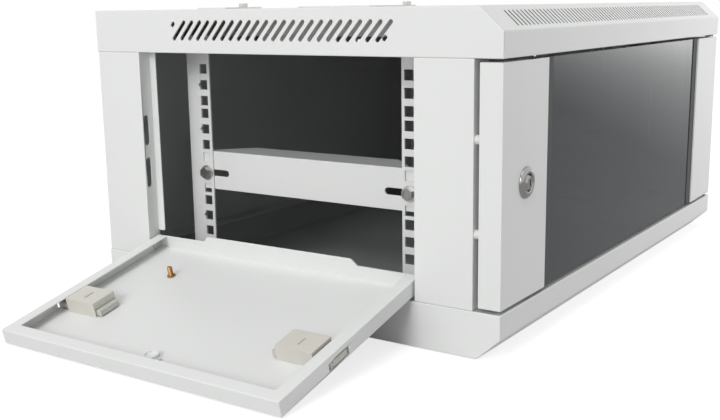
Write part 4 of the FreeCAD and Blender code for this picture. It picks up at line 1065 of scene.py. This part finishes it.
def photo_camera():
    """The camera at the photograph's place."""
    azimuth, elevation, roll = (math.radians(a) for a in (CAMERA_AZIMUTH, CAMERA_ELEVATION, CAMERA_ROLL))
    forward = Vector((
        -math.sin(azimuth) * math.cos(elevation),
        math.cos(azimuth) * math.cos(elevation),
        -math.sin(elevation),
    ))
    right = forward.cross(Vector((0, 0, 1))).normalized()
    up = right.cross(forward)
    turned_right = right * math.cos(roll) + up * math.sin(roll)
    turned_up = up * math.cos(roll) - right * math.sin(roll)
    data = bpy.data.cameras.new("photo_camera")
    data.sensor_width = SENSOR_WIDTH
    data.lens = FOCAL_PIXELS / IMAGE_WIDTH * SENSOR_WIDTH
    turn = Matrix((turned_right, turned_up, -forward)).transposed()
    bpy.context.scene.camera = stand("photo_camera", data, CAMERA_PLACE, turn)


def aimed(data, place, target):
    """A light at a place that points at a target."""
    place = Vector(place)
    aim = (Vector(target) - place).to_track_quat("-Z", "Y")
    return stand(data.name, data, place, aim.to_matrix())


def sun(name, towards, strength, spread):
    """A soft distant light from one direction."""
    data = bpy.data.lights.new(name, "SUN")
    data.energy = strength
    data.angle = math.radians(spread)
    return aimed(data, Vector(towards) * SUN_DISTANCE, (0.0, 0.0, 0.0))


def lamp(name, place, target, size, power):
    """A soft rectangular lamp."""
    data = bpy.data.lights.new(name, "AREA")
    data.shape = "RECTANGLE"
    data.size, data.size_y = size
    data.energy = power
    return aimed(data, place, target)


def seen(graph):
    """Two masks: one for rays from the camera or through glass, and one for mirrored rays."""
    path = graph.node("ShaderNodeLightPath")
    direct = graph.value(path, "Is Camera Ray") + graph.value(path, "Is Transmission Ray")
    return direct, graph.value(path, "Is Glossy Ray")


def white_floor():
    """A floor that shows white with a soft shadow, bounces a softer light on to the cabinet and glows for
    mirrored rays as a painted reflection in the pane.
    """
    graph = material_graph("floor")
    bounce = graph.shader("ShaderNodeBsdfDiffuse", Color=grey(FLOOR_BOUNCE))
    shaded = graph.shader("ShaderNodeBsdfDiffuse", Color=grey(FLOOR_SHADE))
    glow = graph.shader("ShaderNodeEmission", Color=WHITE, Strength=FLOOR_GLOW)
    white = graph.shader("ShaderNodeAddShader", shaded, glow)
    parts = graph.node("ShaderNodeSeparateXYZ", None, graph.place())
    rightward = graph.value(parts, 0) + graph.value(parts, 1) * GLOW_LEAN
    reach = graph.value(graph.node("ShaderNodeClamp", None, (rightward - GLOW_START) / GLOW_SPAN))
    level = NEAR_GLOW + reach * (FAR_GLOW - NEAR_GLOW)
    # Painted reflection: an emission that only mirrored rays see.
    mirrored = graph.shader("ShaderNodeEmission", Color=WHITE, Strength=level)
    direct, glossy = seen(graph)
    shader = graph.shader("ShaderNodeMixShader", direct, bounce, white)
    return graph.wire(graph.shader("ShaderNodeMixShader", glossy, shader, mirrored))


def studio_world():
    """A soft light from all round that shows white to the camera, in mirrors and through glass."""
    graph = Graph(bpy.data.worlds.new("studio"), "ShaderNodeOutputWorld")
    ambient = graph.shader("ShaderNodeBackground", Color=WHITE, Strength=AMBIENT)
    white = graph.shader("ShaderNodeBackground", Color=WHITE, Strength=1.0)
    direct, glossy = seen(graph)
    return graph.wire(graph.shader("ShaderNodeMixShader", direct + glossy, ambient, white))


class CABINET_OT_stage(bpy.types.Operator):
    """White floor, soft studio light and the camera"""

    bl_idname = "cabinet.stage"
    bl_label = "Stage"

    def execute(self, context):
        deselect()
        bpy.ops.mesh.primitive_plane_add(size=FLOOR_SIZE, location=(0, 0, FLOOR_LEVEL))
        floor = bpy.context.active_object
        floor.name = "floor"
        floor.data.materials.append(white_floor())
        settle(floor)
        context.scene.world = studio_world()
        sun("key", towards=(-0.90, -0.04, 0.43), strength=1.00, spread=25.0)
        sun("overhead", towards=(-0.25, -0.05, 0.967), strength=0.65, spread=35.0)
        lamp("side_fill", place=(-1.5, 0.1, 0.55), target=(0.1, 0, 0.14), size=(1.0, 0.8), power=3.0)
        place, target = (0.70, -1.10, 0.50), (0.1, -0.22, 0.2)
        front = lamp("front_fill", place, target, size=(0.6, 0.5), power=4.6)
        front.visible_glossy = False
        photo_camera()
        context.scene.view_settings.view_transform = "Standard"
        return {"FINISHED"}


OPERATORS = (
    CABINET_OT_casing, CABINET_OT_posts, CABINET_OT_rails, CABINET_OT_panels, CABINET_OT_door,
    CABINET_OT_lock, CABINET_OT_thumbscrews, CABINET_OT_fittings, CABINET_OT_stage,
)


class CABINET_PT_pieces(bpy.types.Panel):
    """Buttons that make the pieces"""

    bl_idname = "CABINET_PT_pieces"
    bl_label = "Rack cabinet"
    bl_space_type = "VIEW_3D"
    bl_region_type = "UI"
    bl_category = "Cabinet"

    def draw(self, context):
        for operator in OPERATORS:
            self.layout.operator(operator.bl_idname)


CLASSES = (CabinetSizes, CabinetColours) + OPERATORS + (CABINET_PT_pieces,)


def register():
    """Make the classes and the scene's settings known."""
    for cls in CLASSES:
        bpy.utils.register_class(cls)
    bpy.types.Scene.cabinet_sizes = bpy.props.PointerProperty(type=CabinetSizes)
    bpy.types.Scene.cabinet_colours = bpy.props.PointerProperty(type=CabinetColours)


def unregister():
    """Take the scene's settings and the classes away again."""
    del bpy.types.Scene.cabinet_colours
    del bpy.types.Scene.cabinet_sizes
    for cls in reversed(CLASSES):
        bpy.utils.unregister_class(cls)


def main():
    """Make every piece and the stage."""
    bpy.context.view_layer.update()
    register()
    for operator in OPERATORS:
        group, name = operator.bl_idname.split(".")
        getattr(getattr(bpy.ops, group), name)()


if __name__ == "__main__":
    main()
